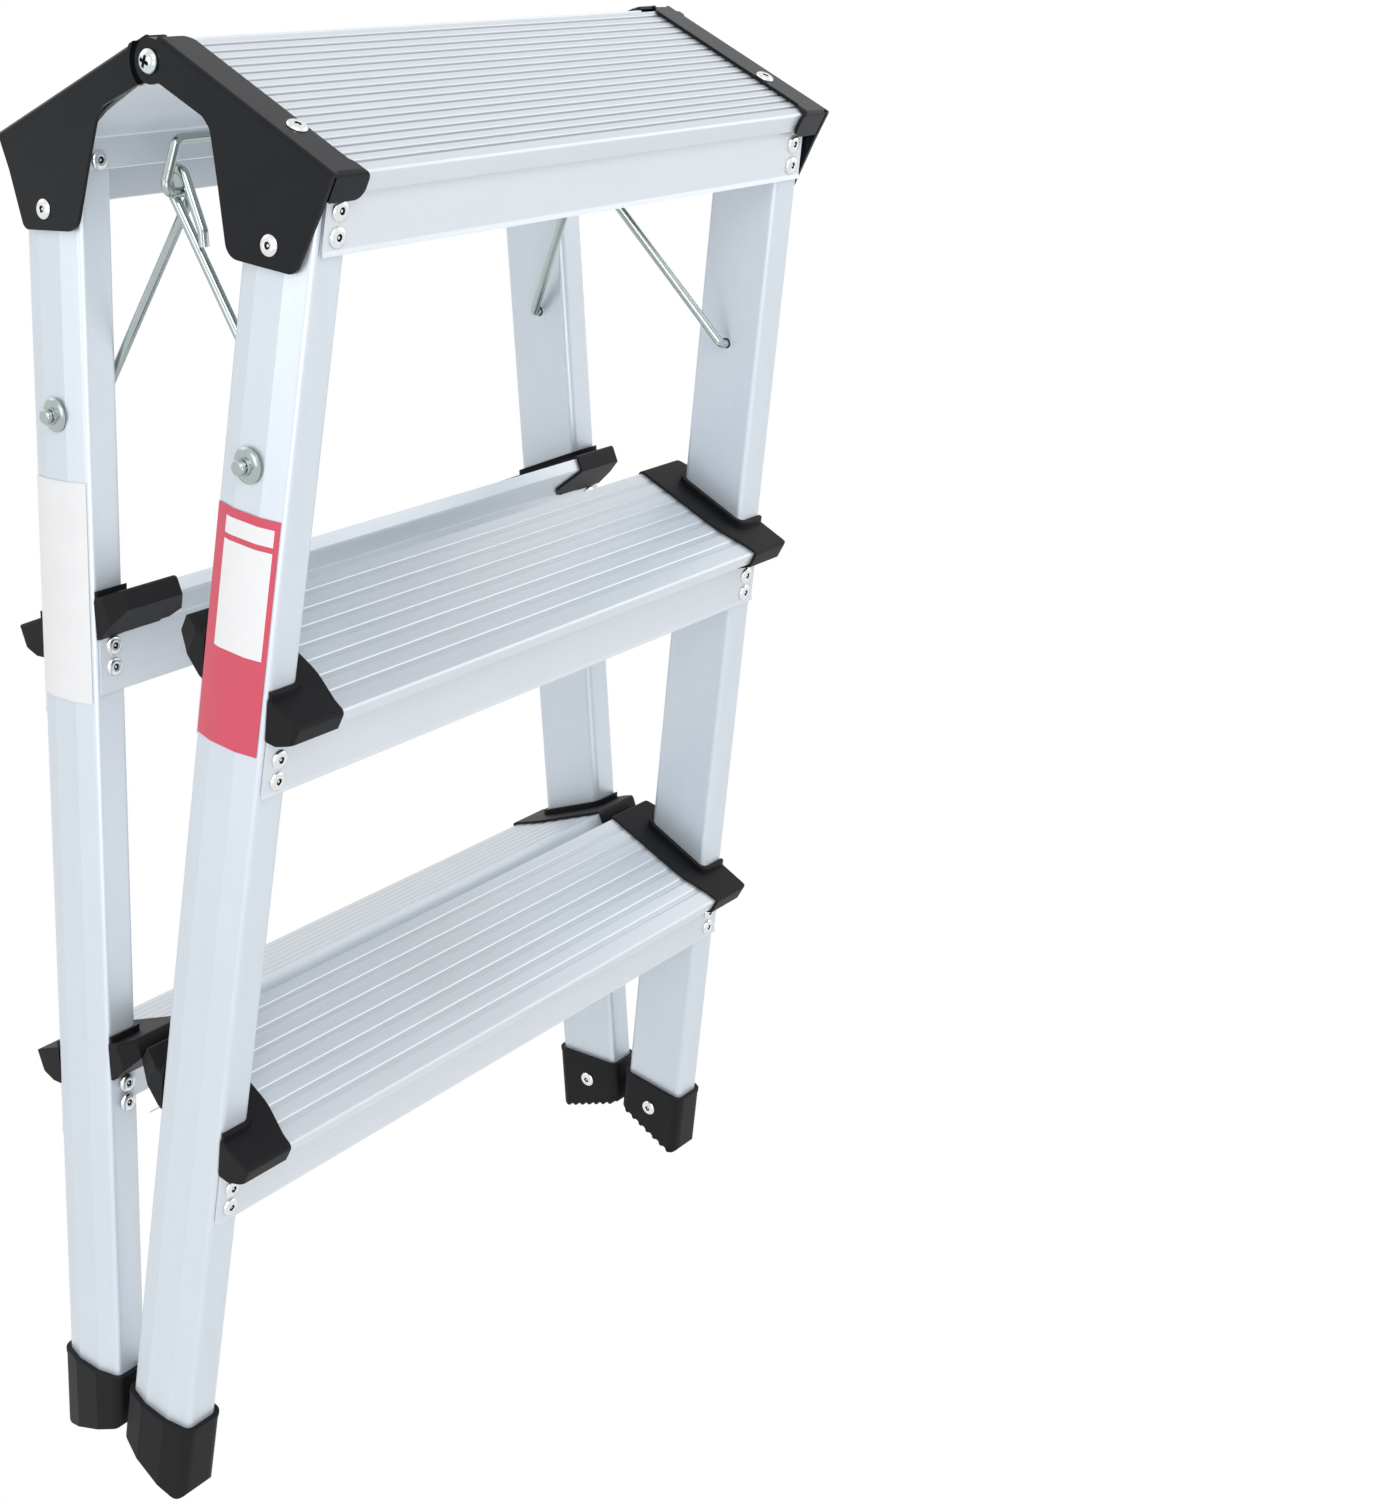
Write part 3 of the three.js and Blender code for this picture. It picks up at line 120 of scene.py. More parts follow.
class TopTreadSizes(PropertyGroup):
    ribs: IntProperty(name="Ribs", description="Ribs on a top tread", default=18, min=4)
    rib_height: length("Rib height", "Height of a top tread's ribs", 0.8 * MM)
    sheet: length("Sheet", "Thickness of the plate", 1.2 * MM)
    back: length("Back", "Back edge from the hinge axis", 1.5 * MM)
    overhang: length("Overhang", "Nose ahead of the outer apron", 3.3 * MM)
    nose: length("Nose", "Height of the nose", 9.9 * MM)
    back_height: length("Back height", "Height of the back edge", 11.3 * MM)
    web: length("Web", "Rib tops down to the web's lower end", 19.5 * MM)
    bow: length("Web bow", "Rise of the web's middle above a straight line", 2.2 * MM)
    outer_apron: length("Outer apron", "Rib tops down to the outer apron's edge", 33.9 * MM)
    inner_apron: length("Inner apron", "Rib tops down to the inner apron's edge", 32.2 * MM)
    notch: length("Notch", "Radius of the room round each hinge", 16 * MM)
    notch_length: length("Notch length", "Length of the room round each hinge", 10 * MM)


class FootSizes(PropertyGroup):
    sole: length("Sole", "Rib tops down to the soles", 608 * MM)
    rim: length("Rim", "Rib tops down to the foot's rim", 574.5 * MM)
    wall: length("Wall", "Thickness of the foot's wall", 2.2 * MM)
    floor: length("Floor", "Thickness of the sole with its gap", 7.1 * MM)
    lip: length("Lip", "Height of the raised lip round the rim", 2 * MM)
    lip_out: length("Lip out", "How far the lip stands out", 0.35 * MM)
    corner: length("Corner", "Rounding of the sole's ends", 5 * MM)
    notches: IntProperty(name="Notches", description="Grip notches under a sole", default=8, min=1)
    notch_radius: length("Notch radius", "Radius of a grip notch", 2.2 * MM)
    notch_depth: length("Notch depth", "Depth of a grip notch", 1.6 * MM)


class PlateSizes(PropertyGroup):
    sheet: length("Sheet", "Thickness of the plate", 1.8 * MM)
    bend: length("Bend", "Below this the plate follows the rail", -6.4 * MM)
    lobe: length("Lobe", "Radius round the hinge screw", 9.3 * MM)
    dish: length("Dish", "Outer radius of the dish", 14.3 * MM)
    dish_wall: length("Dish wall", "Thickness of the dish's wall", 1.7 * MM)
    corner_u: length("Corner", "Lower inner corner from the hinge axis", 74.1 * MM)
    corner_z: length("Corner drop", "Height of the lower inner corner", -47 * MM)
    flange: length("Flange", "Thickness of the flange", 1.5 * MM)
    flange_width: length("Flange width", "Width of the flange", 17.3 * MM)
    flange_start: length("Flange start", "Flange's end from the hinge axis", 0.9 * MM)
    flange_corner: length("Flange corner", "Rounding of the flange's end", 5 * MM)
    fold: length("Fold", "Outer radius of the folds", 2.2 * MM)
    tab_width: length("Tab width", "Width of the tab over the nose", 19.5 * MM)
    tab_drop: length("Tab drop", "Rib tops down to the tab's edge", 11.5 * MM)
    slit: length("Slit", "Slit beside the tab", 1.2 * MM)
    hole: length("Hole", "Radius of the screw's hole", 2.8 * MM)


class SpreaderSizes(PropertyGroup):
    rod: length("Rod", "Diameter of the rods", 4.6 * MM)
    bend: length("Bend", "Radius of the bends", 4 * MM)
    end: length("Rod end", "Rod past the rail's outer face", 7.5 * MM)
    turn_in: length("First bend", "First bend in from the rail's inner face", 4.5 * MM)
    arm: length("Arm", "Bail's pivot to the link's eye", 120.3 * MM)
    rise: length("Rise", "Eye up to the crossbar", 22 * MM)
    near_arm: length("Near arm", "Bail's near arm from the middle", 156 * MM)
    near_loop: length("Near loop", "Bail's near loop from the middle", 173 * MM)
    near_bar: length("Near bar", "Crossbar's near end from the middle", 165 * MM)
    far_arm: length("Far arm", "Bail's far arm from the middle", 118.5 * MM)
    far_loop: length("Far loop", "Bail's far loop from the middle", 103 * MM)
    far_bar: length("Far bar", "Crossbar's far end from the middle", 107 * MM)
    near_eye: FloatProperty(name="Near eye", description="Near eye's place from the arm to the loop",
                            default=0.4, min=0, max=1)
    eye_gap: length("Eye gap", "Eye to the bail on each side", 0.9 * MM)
    eye_slack: length("Eye slack", "Eye to the bail with the ladder open", 0.4 * MM)
    leg: length("Leg", "Length of the link's doubled-back leg", 30 * MM)
    head: length("Head", "Width of the rod's upset head", 7 * MM)
    head_length: length("Head length", "Length of the rod's upset head", 3 * MM)
    washer: length("Washer", "Width of the push-on washers", 15.8 * MM)
    washer_collar: length("Washer collar", "Width of the washers' collar", 8.4 * MM)
    washer_height: length("Washer height", "Height of the washers", 3.6 * MM)


class LabelSizes(PropertyGroup):
    panel_top: length("Panel top", "Rib tops down to the blank panel", 156.7 * MM)
    panel_bottom: length("Panel bottom", "Rib tops down to the panel's lower edge", 201.5 * MM)
    strip_top: length("Strip top", "Rib tops down to the blank strip", 147.3 * MM)
    strip_bottom: length("Strip bottom", "Rib tops down to the strip's lower edge", 154.3 * MM)
    left: length("Panel back", "Panel's back edge from the rail's middle", -11.3 * MM)
    right: length("Panel front", "Panel's front edge from the rail's middle", 15.6 * MM)


class FastenerSizes(PropertyGroup):
    rivet: length("Rivet head", "Width of a rivet's head", 9.2 * MM)
    rivet_dome: length("Rivet dome", "Height of a rivet's head", 1.6 * MM)
    rivet_inset: length("Rivet inset", "Apron rivets inside the rail's outer corner", 10 * MM)
    mandrel: length("Mandrel hole", "Radius of a rivet's mandrel hole", 1.45 * MM)
    screw: length("Screw head", "Width of the hinge screw's head", 10.6 * MM)
    screw_height: length("Screw height", "Height of the hinge screw's head", 3.2 * MM)
    recess: length("Recess", "Reach of the screw's cross recess", 2.7 * MM)


class Finishes(PropertyGroup):
    rail: tint("Rail", "Anodised rail metal", (0.665, 0.725, 0.785))
    tread: tint("Tread", "Tread metal", (0.69, 0.735, 0.78))
    plate: tint("Hinge plate", "Powder coat of the hinge plates", (0.0062, 0.0075, 0.0098))
    plastic: tint("Plastic", "Moulded caps and feet", (0.0068, 0.007, 0.0083))
    rivet: tint("Rivet", "Rivet metal", (0.80, 0.81, 0.82))
    zinc: tint("Zinc", "Zinc plate on screws and rods", (0.44, 0.49, 0.48))
    red: tint("Red film", "Red field of the data label", (0.62, 0.06, 0.11))
    white: tint("White film", "White film of the labels", (0.8, 0.805, 0.815))


def settings():
    return bpy.context.scene.ladder


class LadderSettings(PropertyGroup):
    rail: PointerProperty(type=RailSizes)
    tread: PointerProperty(type=TreadSizes)
    top_tread: PointerProperty(type=TopTreadSizes)
    foot: PointerProperty(type=FootSizes)
    plate: PointerProperty(type=PlateSizes)
    spreader: PointerProperty(type=SpreaderSizes)
    label: PointerProperty(type=LabelSizes)
    fastener: PointerProperty(type=FastenerSizes)
    finish: PointerProperty(type=Finishes)


# ------------------------------------------------------------------ outlines

def rounded(corners, steps=6):
    """Rounds an outline's corners. A corner is (a, b) or (a, b, radius)."""
    outline = []
    for i, corner in enumerate(corners):
        here = Vector(corner[:2])
        back = Vector(corners[i - 1][:2]) - here
        ahead = Vector(corners[(i + 1) % len(corners)][:2]) - here
        room = min(back.length, ahead.length) / 2
        back.normalize()
        ahead.normalize()
        half = back.angle(ahead) / 2
        wanted = corner[2] if len(corner) > 2 else 0
        reach = min(wanted / math.tan(half), room)
        if reach < 0.02 * MM:
            outline.append(tuple(here))
            continue
        radius = reach * math.tan(half)
        centre = here + (back + ahead).normalized() * (radius / math.sin(half))
        first = here + back * reach - centre
        last = here + ahead * reach - centre
        sweep = first.angle_signed(last)
        for step in range(steps + 1):
            spoke = first.copy()
            spoke.rotate(Matrix.Rotation(-sweep * step / steps, 2))
            outline.append(tuple(centre + spoke))
    return outline


def inset(corners, distance):
    """Moves each side of an anticlockwise outline inwards, or outwards if negative."""
    moved = []
    for i, corner in enumerate(corners):
        into = (Vector(corner[:2]) - Vector(corners[i - 1][:2])).normalized()
        out = (Vector(corners[(i + 1) % len(corners)][:2]) - Vector(corner[:2])).normalized()
        normal = Vector((-into.y - out.y, into.x + out.x)).normalized()
        scale = distance / (normal.x * -into.y + normal.y * into.x)
        moved.append((corner[0] + normal.x * scale, corner[1] + normal.y * scale))
    return moved


class RailLine:
    """Where a rail lies in its frame's open position, from its sizes."""

    def __init__(self):
        rail = settings().rail
        self.rail = rail
        self.slope = math.tan(rail.lean)
        self.front_u = rail.back + rail.depth / math.cos(rail.lean)
        self.inner_x = rail.corner_x - rail.width
        self.outer_x = rail.corner_x + rail.crown

    def back(self, z):
        return self.rail.back - self.slope * z

    def front(self, z):
        return self.front_u - self.slope * z

    def centre(self, z):
        return (self.back(z) + self.front(z)) / 2

    def flared(self, x, z):
        return x - self.rail.flare * z

    def outline(self, growth, steps=6):
        rail = self.rail
        corners = [
            (self.inner_x, rail.back),
            (rail.corner_x, rail.back),
            (self.outer_x, rail.back + rail.facet),
            (self.outer_x, self.front_u - rail.facet),
            (rail.corner_x, self.front_u),
            (self.inner_x, self.front_u),
        ]
        radius = max(rail.radius + growth, 0.8 * MM)
        grown = inset(corners, -growth)
        radii = [radius, radius, rail.edge, rail.edge, radius, radius]
        return rounded([(x, u, r) for (x, u), r in zip(grown, radii)], steps)


# ------------------------------------------------------------------ modelling

def deselect():
    if bpy.context.object and bpy.context.object.mode != "OBJECT":
        bpy.ops.object.mode_set(mode="OBJECT")
    bpy.ops.object.select_all(action="DESELECT")


def activate(obj):
    deselect()
    obj.select_set(True)
    bpy.context.view_layer.objects.active = obj
    return obj


def edit(obj, work):
    """Runs edit-mode work on everything in an object."""
    activate(obj)
    bpy.ops.object.mode_set(mode="EDIT")
    bpy.ops.mesh.select_all(action="SELECT")
    work()
    bpy.ops.object.mode_set(mode="OBJECT")
    return obj


def extruded(points, vector):
    """A filled outline of points in space, extruded along a vector."""
    deselect()
    bpy.ops.mesh.primitive_circle_add(vertices=len(points), radius=1, fill_type="NGON")
    obj = bpy.context.object
    for vertex, point in zip(obj.data.vertices, points):
        vertex.co = point

    def pull():
        bpy.ops.mesh.extrude_region_move(TRANSFORM_OT_translate={"value": vector})
        bpy.ops.mesh.select_all(action="SELECT")
        bpy.ops.mesh.normals_make_consistent(inside=False)

    return edit(obj, pull)


def along_x(outline, start, end):
    return extruded([(start, u, z) for u, z in outline], (end - start, 0, 0))


def along_y(outline, start, end):
    return extruded([(x, start, z) for x, z in outline], (0, end - start, 0))


def upright(outline, bottom, top):
    return extruded([(x, u, bottom) for x, u in outline], (0, 0, top - bottom))


def along_rail(line, outline, bottom, top):
    """A level section run along the leaning, flaring rail."""
    drop = top - bottom
    points = [(line.flared(x, top), u - line.slope * top, top) for x, u in outline]
    return extruded(points, (line.rail.flare * drop, line.slope * drop, -drop))


def turned(profile, sides=32):
    """A piece turned about Z from [radius, height] pairs, its ends closed."""
    deselect()
    first = profile[0]
    bpy.ops.mesh.primitive_circle_add(vertices=sides, radius=first[0], fill_type="NGON",
                                      location=(0, 0, first[1]))
    obj = bpy.context.object
    bpy.ops.object.transform_apply(location=True, rotation=True, scale=True)

    def rings():
        radius, height = first
        for next_radius, next_height in profile[1:]:
            bpy.ops.mesh.extrude_region_move(
                TRANSFORM_OT_translate={"value": (0, 0, next_height - height)})
            ratio = next_radius / radius
            bpy.ops.transform.resize(value=(ratio, ratio, 1), center_override=(0, 0, 0))
            radius, height = next_radius, next_height
        bpy.ops.mesh.select_all(action="SELECT")
        bpy.ops.mesh.normals_make_consistent(inside=False)

    return edit(obj, rings)


def bent_line(corners, radius, steps=8):
    """Rounds the bends of a line through points in space."""
    points = [corners[0]]
    for before, here, after in zip(corners, corners[1:], corners[2:]):
        back = before - here
        ahead = after - here
        room = min(back.length, ahead.length) * 0.48
        back.normalize()
        ahead.normalize()
        half = back.angle(ahead) / 2
        reach = min(radius / math.tan(half), room)
        centre = here + (back + ahead).normalized() * (reach * math.tan(half) / math.sin(half))
        first = here + back * reach - centre
        last = here + ahead * reach - centre
        axis = first.cross(last).normalized()
        sweep = first.angle(last)
        points += [Matrix.Rotation(sweep * i / steps, 3, axis) @ first + centre for i in range(steps + 1)]
    return [*points, corners[-1]]


def wire(points, diameter):
    """A round wire along a line of points."""
    deselect()
    bpy.ops.curve.primitive_nurbs_path_add()
    obj = bpy.context.object
    obj.data.splines.clear()
    spline = obj.data.splines.new("POLY")
    spline.points.add(len(points) - 1)
    for spot, point in zip(spline.points, points):
        spot.co = (*point, 1)
    obj.data.dimensions = "3D"
    obj.data.bevel_depth = diameter / 2
    obj.data.bevel_resolution = 5
    obj.data.use_fill_caps = True
    bpy.ops.object.convert(target="MESH")
    return edit(bpy.context.object, lambda: bpy.ops.mesh.normals_make_consistent(inside=False))


def cylinder_x(radius, start, end, u=0.0, z=0.0, sides=48):
    """A bar along X."""
    low, high = sorted((start, end))
    obj = turned([(radius, 0), (radius, high - low)], sides)
    return moved(obj, Matrix.Translation((low, u, z)) @ facing((1, 0, 0)))


def rectangle(a0, b0, a1, b1):
    return [(a0, b0), (a1, b0), (a1, b1), (a0, b1)]


def apply_modifier(obj, kind, **values):
    activate(obj)
    modifier = obj.modifiers.new(kind.title(), kind)
    for key, value in values.items():
        setattr(modifier, key, value)
    bpy.ops.object.modifier_apply(modifier=modifier.name)
    return obj


def boolean(base, others, operation):
    for other in others:
        apply_modifier(base, "BOOLEAN", operation=operation, object=other, solver="EXACT")
        bpy.data.objects.remove(other, do_unlink=True)
    return base


def fuse(base, others):
    return boolean(base, others, "UNION")


def carve(base, others):
    return boolean(base, others, "DIFFERENCE")


def soften(obj, width, segments=2, angle=28):
    """Rounds the sharp edges and shades the piece."""
    edit(obj, lambda: bpy.ops.mesh.remove_doubles(threshold=0.01 * MM))
    edit(obj, lambda: bpy.ops.mesh.dissolve_limited(angle_limit=math.radians(0.5)))
    if width:
        apply_modifier(obj, "BEVEL", width=width, segments=segments, limit_method="ANGLE",
                       angle_limit=math.radians(angle), miter_outer="MITER_ARC",
                       harden_normals=False)
    return smooth(obj)


def smooth(obj, angle=32):
    activate(obj)
    bpy.ops.object.shade_smooth_by_angle(angle=math.radians(angle))
    return obj


def moved(obj, matrix):
    """Moves a piece's mesh, and turns its faces back out if it was mirrored."""
    obj.data.transform(matrix)
    if matrix.determinant() < 0:
        obj.data.flip_normals()
    obj.data.update()
    return obj


def copy_of(obj):
    twin = obj.copy()
    twin.data = obj.data.copy()
    bpy.context.collection.objects.link(twin)
    return twin


def facing(direction):
    """Turns +Z to a direction."""
    return Vector((0, 0, 1)).rotation_difference(Vector(direction)).to_matrix().to_4x4()


def frame_matrix(name):
    """From a frame's open position, on the +Y side of the hinge, to its place in the folded ladder."""
    turn = Matrix.Rotation(math.pi, 4, "Z") if name == "front" else Matrix.Identity(4)
    return Matrix.Translation((0, 0, HINGE_Z)) @ turn @ Matrix.Rotation(-FOLD, 4, "X")


def pivot_open():
    """The spreader's pivot in its frame's open position."""
    return frame_matrix("rear").inverted() @ PIVOT


def declare(obj, name, body, material, nodes=()):
    """Names a finished piece, dresses it and ties it to the frame."""
    obj.name = name
    obj.data.name = name
    obj.data.materials.clear()
    obj.data.materials.append(material)
    apply_modifier(obj, "WEIGHTED_NORMAL", mode="FACE_AREA", weight=85, keep_sharp=True)
    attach(obj, body)
    if nodes:
        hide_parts(*nodes)
    return obj


def side_name(frame_name, side):
    return SIDES[side if frame_name == "rear" else -side]


def place_in_frames(master, piece, material, node=None, sides=(1, -1), replaces=True):
    """Copies a piece drawn on the +X side to both sides of both frames."""
    for frame_name in ("rear", "front"):
        for side in sides:
            side_word = side_name(frame_name, side)
            twin = copy_of(master)
            mirror = Matrix.Diagonal((side, 1, 1, 1))
            moved(twin, frame_matrix(frame_name) @ mirror)
            finish = material(frame_name, side_word) if callable(material) else material
            nodes = [f"{frame_name}_{node or piece}_{side_word}"] if replaces else []
            name = f"{frame_name}_{side_word}_{piece}"
            declare(twin, name, f"{frame_name}_frame", finish, nodes)
    bpy.data.objects.remove(master, do_unlink=True)


# ------------------------------------------------------------------ shader expressions

class Value:
    """A number in a shader: arithmetic on it adds Math nodes."""

    def __init__(self, shader, socket):
        self.shader = shader
        self.socket = socket

    def math(self, operation, *others, **settings_):
        return self.shader.node("ShaderNodeMath", {"operation": operation, **settings_},
                                [self, *others])

    def __add__(self, other):
        return self.math("ADD", other)

    __radd__ = __add__

    def __sub__(self, other):
        return self.math("SUBTRACT", other)

    def __rsub__(self, other):
        return self.shader.node("ShaderNodeMath", {"operation": "SUBTRACT"}, [other, self])

    def __mul__(self, other):
        return self.math("MULTIPLY", other)

    __rmul__ = __mul__

    def __truediv__(self, other):
        return self.math("DIVIDE", other)

    def __gt__(self, other):
        return self.math("GREATER_THAN", other)

    def __lt__(self, other):
        return self.math("LESS_THAN", other)

    def __abs__(self):
        return self.math("ABSOLUTE")

    def between(self, low, high):
        """1 inside a range and 0 outside it."""
        return (self > low) * (self < high)


class Shader:
    """A material's nodes, round one Principled surface."""

    def __init__(self, name, **surface):
        self.material = bpy.data.materials.new(name)
        self.material.use_nodes = True
        self.tree = self.material.node_tree
        self.surface = self.tree.nodes["Principled BSDF"]
        for socket, value in surface.items():
            self.put(socket.replace("_", " "), value)

    def node(self, kind, settings_=None, inputs=(), output=0):
        """Makes any node: its settings first, then the values or links of its inputs."""
        made = self.tree.nodes.new(kind)
        for key, value in (settings_ or {}).items():
            setattr(made, key, value)
        pairs = inputs.items() if isinstance(inputs, dict) else enumerate(inputs)
        for key, value in pairs:
            if isinstance(value, Value):
                self.tree.links.new(value.socket, made.inputs[key])
            elif value is not None:
                made.inputs[key].default_value = value
        return Value(self, made.outputs[output])

    def put(self, socket, value):
        target = self.surface.inputs[socket]
        if isinstance(value, Value):
            self.tree.links.new(value.socket, target)
        elif isinstance(value, (tuple, list)) or hasattr(value, "__len__"):
            target.default_value = (*value[:3], 1)
        else:
            target.default_value = value

    def place(self, turn=(0, 0, 0), scale=(1, 1, 1)):
        """Object coordinates, turned and then stretched."""
        spot = self.node("ShaderNodeTexCoord", output="Object")
        turned_spot = self.node("ShaderNodeMapping", {"vector_type": "POINT"},
                                {"Vector": spot, "Rotation": turn})
        return self.node("ShaderNodeVectorMath", {"operation": "MULTIPLY"}, [turned_spot, scale])

    def noise(self, place, scale, detail=2.0, roughness=0.5):
        return self.node("ShaderNodeTexNoise", None,
                         {"Vector": place, "Scale": scale, "Detail": detail, "Roughness": roughness})

    def mix(self, amount, first, second):
        colours = {"Factor": amount, "A": first, "B": second}
        made = self.tree.nodes.new("ShaderNodeMix")
        made.data_type = "RGBA"
        for key, value in colours.items():
            socket = next(s for s in made.inputs
                          if s.name == key and s.type == ("VALUE" if key == "Factor" else "RGBA"))
            if isinstance(value, Value):
                self.tree.links.new(value.socket, socket)
            elif key == "Factor":
                socket.default_value = value
            else:
                socket.default_value = (*value[:3], 1)
        return Value(self, next(s for s in made.outputs if s.type == "RGBA"))

    def attribute(self, name):
        return self.node("ShaderNodeAttribute", {"attribute_name": name}, output="Fac")

    def dot(self, place, direction):
        return self.node("ShaderNodeVectorMath", {"operation": "DOT_PRODUCT"},
                         [place, tuple(direction)], output="Value")

    def bump(self, height, distance, strength=1.0):
        self.put("Normal", self.node("ShaderNodeBump", None,
                                     {"Strength": strength, "Distance": distance, "Height": height}))


def shade(colour, factor):
    return tuple(min(channel * factor, 1) for channel in colour)


def drawn_metal(name, colour, turn, stretch, roughness):
    """Extruded aluminium: fine die lines along its length, a soft cloud of tone, and painted shade darkening
    the ribs' grooves.
    """
    shader = Shader(name, Metallic=0.55)
    place = shader.place(turn, stretch)
    lines = shader.noise(place, 1100.0, 2.0, 0.5)
    streaks = shader.noise(place, 160.0, 2.0, 0.5)
    cloud = shader.noise(shader.place(turn, (1, 1, 1)), 14.0, 2.0, 0.5)
    tone = streaks * 0.5 + cloud * 0.5
    # Painted shade: the metal's colour is darkened where a point lies on a rib's groove floor.
    groove_shade = shader.attribute("groove_shade")
    metal = shader.mix(tone, shade(colour, 0.955), shade(colour, 1.045))
    shader.put("Base Color", shader.mix(groove_shade, metal, shade(colour, 0.62)))
    shader.put("Roughness", roughness + lines * 0.08 + cloud * 0.06)
    shader.bump(lines, 0.012 * MM, 0.5)
    return shader.material


def rail_metal(frame_name, side_word):
    """Rail metal with its die lines along that rail."""
    line = RailLine()
    toward = 1 if frame_name == "rear" else -1
    lean = (line.rail.lean - FOLD) * toward
    flare = math.atan(line.rail.flare) * (1 if side_word == "right" else -1)
    name = f"rail metal {frame_name} {side_word}"
    return drawn_metal(name, settings().finish.rail, (-lean, -flare, 0), (1, 1, 0.012), 0.34)


def tread_metal():
    return drawn_metal("tread metal", settings().finish.tread, (0, 0, 0), (0.012, 1, 1), 0.32)


def powder_coat():
    """Black powder coat with its fine orange peel."""
    shader = Shader("powder coat", Metallic=0.0, Coat_Weight=0.1, Coat_Roughness=0.08,
                    Specular_IOR_Level=0.14)
    place = shader.place()
    peel = shader.noise(place, 1400.0, 3.0, 0.55)
    cloud = shader.noise(place, 60.0, 2.0, 0.5)
    colour = settings().finish.plate
    shader.put("Base Color", shader.mix(cloud, shade(colour, 0.85), shade(colour, 1.2)))
    shader.put("Roughness", 0.24 + cloud * 0.1)
    shader.bump(peel, 0.03 * MM, 0.5)
    return shader.material


def moulded_plastic():
    """Black plastic with a fine spark-eroded grain."""
    shader = Shader("moulded plastic", Metallic=0.0, Specular_IOR_Level=0.17)
    place = shader.place()
    grain = shader.noise(place, 2200.0, 2.0, 0.6)
    cloud = shader.noise(place, 45.0, 2.0, 0.5)
    colour = settings().finish.plastic
    shader.put("Base Color", shader.mix(cloud, shade(colour, 0.8), shade(colour, 1.25)))
    shader.put("Roughness", 0.46 + cloud * 0.12)
    shader.bump(grain, 0.08 * MM, 0.8)
    return shader.material


def bright_metal(name, colour, roughness, metallic=1.0):
    """Bright rivet metal or zinc plate, with painted shade making its recesses nearly black."""
    shader = Shader(name, Metallic=metallic)
    place = shader.place()
    cloud = shader.noise(place, 120.0, 2.0, 0.5)
    fine = shader.noise(place, 1800.0, 2.0, 0.5)
    metal = shader.mix(cloud, shade(colour, 0.94), shade(colour, 1.04))
    # Painted shade: points marked as recess get a nearly black colour.
    shader.put("Base Color", shader.mix(shader.attribute("recess"), metal, shade(colour, 0.04)))
    shader.put("Roughness", roughness + cloud * 0.06 + shader.attribute("recess") * 0.4)
    shader.bump(fine, 0.004 * MM, 0.2)
    return shader.material


# ------------------------------------------------------------------ pieces

class LADDER_OT_rails(Operator):
    """Four leaning box rails with rounded corners and a crowned outer face"""
    bl_idname = "ladder.rails"
    bl_label = "Rails"

    def execute(self, context):
        line = RailLine()
        foot = settings().foot
        bottom = settings().tread.rib_z - foot.sole + foot.floor
        rail = along_rail(line, line.outline(0), bottom, line.rail.top)
        pivot = pivot_open()
        outside = line.flared(line.outer_x, pivot.z) + 10 * MM
        carve(rail, [cylinder_x(line.rail.hole, line.inner_x, outside, pivot.y, pivot.z, 32)])
        smooth(rail, 30)
        place_in_frames(rail, "rail", rail_metal)
        return {"FINISHED"}


class LADDER_OT_feet(Operator):
    """Four moulded feet with a raised rim and a notched sole"""
    bl_idname = "ladder.feet"
    bl_label = "Feet"

    def execute(self, context):
        line = RailLine()
        foot = settings().foot
        rib_z = settings().tread.rib_z
        sole = rib_z - foot.sole
        rim_z = rib_z - foot.rim
        grown = line.rail.clear + foot.wall
        tall = rim_z + line.rail.depth
        boot = along_rail(line, line.outline(grown), sole, tall)
        lip = along_rail(line, line.outline(grown + foot.lip_out), sole, tall)
        axis = Vector((0, math.sin(line.rail.lean), -math.cos(line.rail.lean)))
        centre = Vector((0, line.centre(rim_z), rim_z))
        cut_at(boot, centre, -axis)
        cut_at(lip, centre, -axis)
        cut_at(lip, centre + axis * foot.lip, axis)
        fuse(boot, [lip])
        out = 1 * MM
        reach = 2 * line.rail.corner_x
        ends = along_x(rounded([
            (line.back(sole) - grown, sole, foot.corner),
            (line.front(sole) + grown, sole, foot.corner),
            (line.front(tall) + grown + out, tall),
            (line.back(tall) - grown - out, tall),
        ]), 0, reach)
        boolean(boot, [ends], "INTERSECT")
        pocket = along_rail(line, line.outline(line.rail.clear / 2), rim_z - 4 * MM, tall)
        pitch = (line.front_u - line.rail.back + 2 * grown) / foot.notches
        start = line.flared(line.inner_x, sole) - grown
        end = start + grown + line.rail.width / 2
        notches = [cylinder_x(foot.notch_radius, start - out, end, line.back(sole) - grown + (i + 0.5) * pitch,
                              sole + foot.notch_depth - foot.notch_radius, 24) for i in range(foot.notches)]
        carve(boot, [pocket, *notches])
        soften(boot, 0.4 * MM)
        place_in_frames(boot, "foot", moulded_plastic())
        return {"FINISHED"}


def cut_at(obj, point, away):
    """Cuts off what lies past a plane and closes the cut."""
    return edit(obj, lambda: bpy.ops.mesh.bisect(
        plane_co=point, plane_no=away, use_fill=True, clear_outer=True))


def ribbed(back, front, top, height, count):
    """The outline of a ribbed top, its ribs' shoulders slightly rounded."""
    pitch = (front - back) / count
    points = []
    for i in range(count):
        start = back + i * pitch
        points.append((start, top))
        if i < count - 1:
            points.append((start + pitch * 0.56, top))
            points.append((start + pitch * 0.62, top - height * 0.3))
            points.append((start + pitch * 0.66, top - height))
            points.append((start + pitch * 0.94, top - height))
            points.append((start + pitch * 0.98, top - height * 0.3))
    points.append((front, top))
    return points


BOW_AT = 0.68  # where the web bends most, from the back edge to the apron


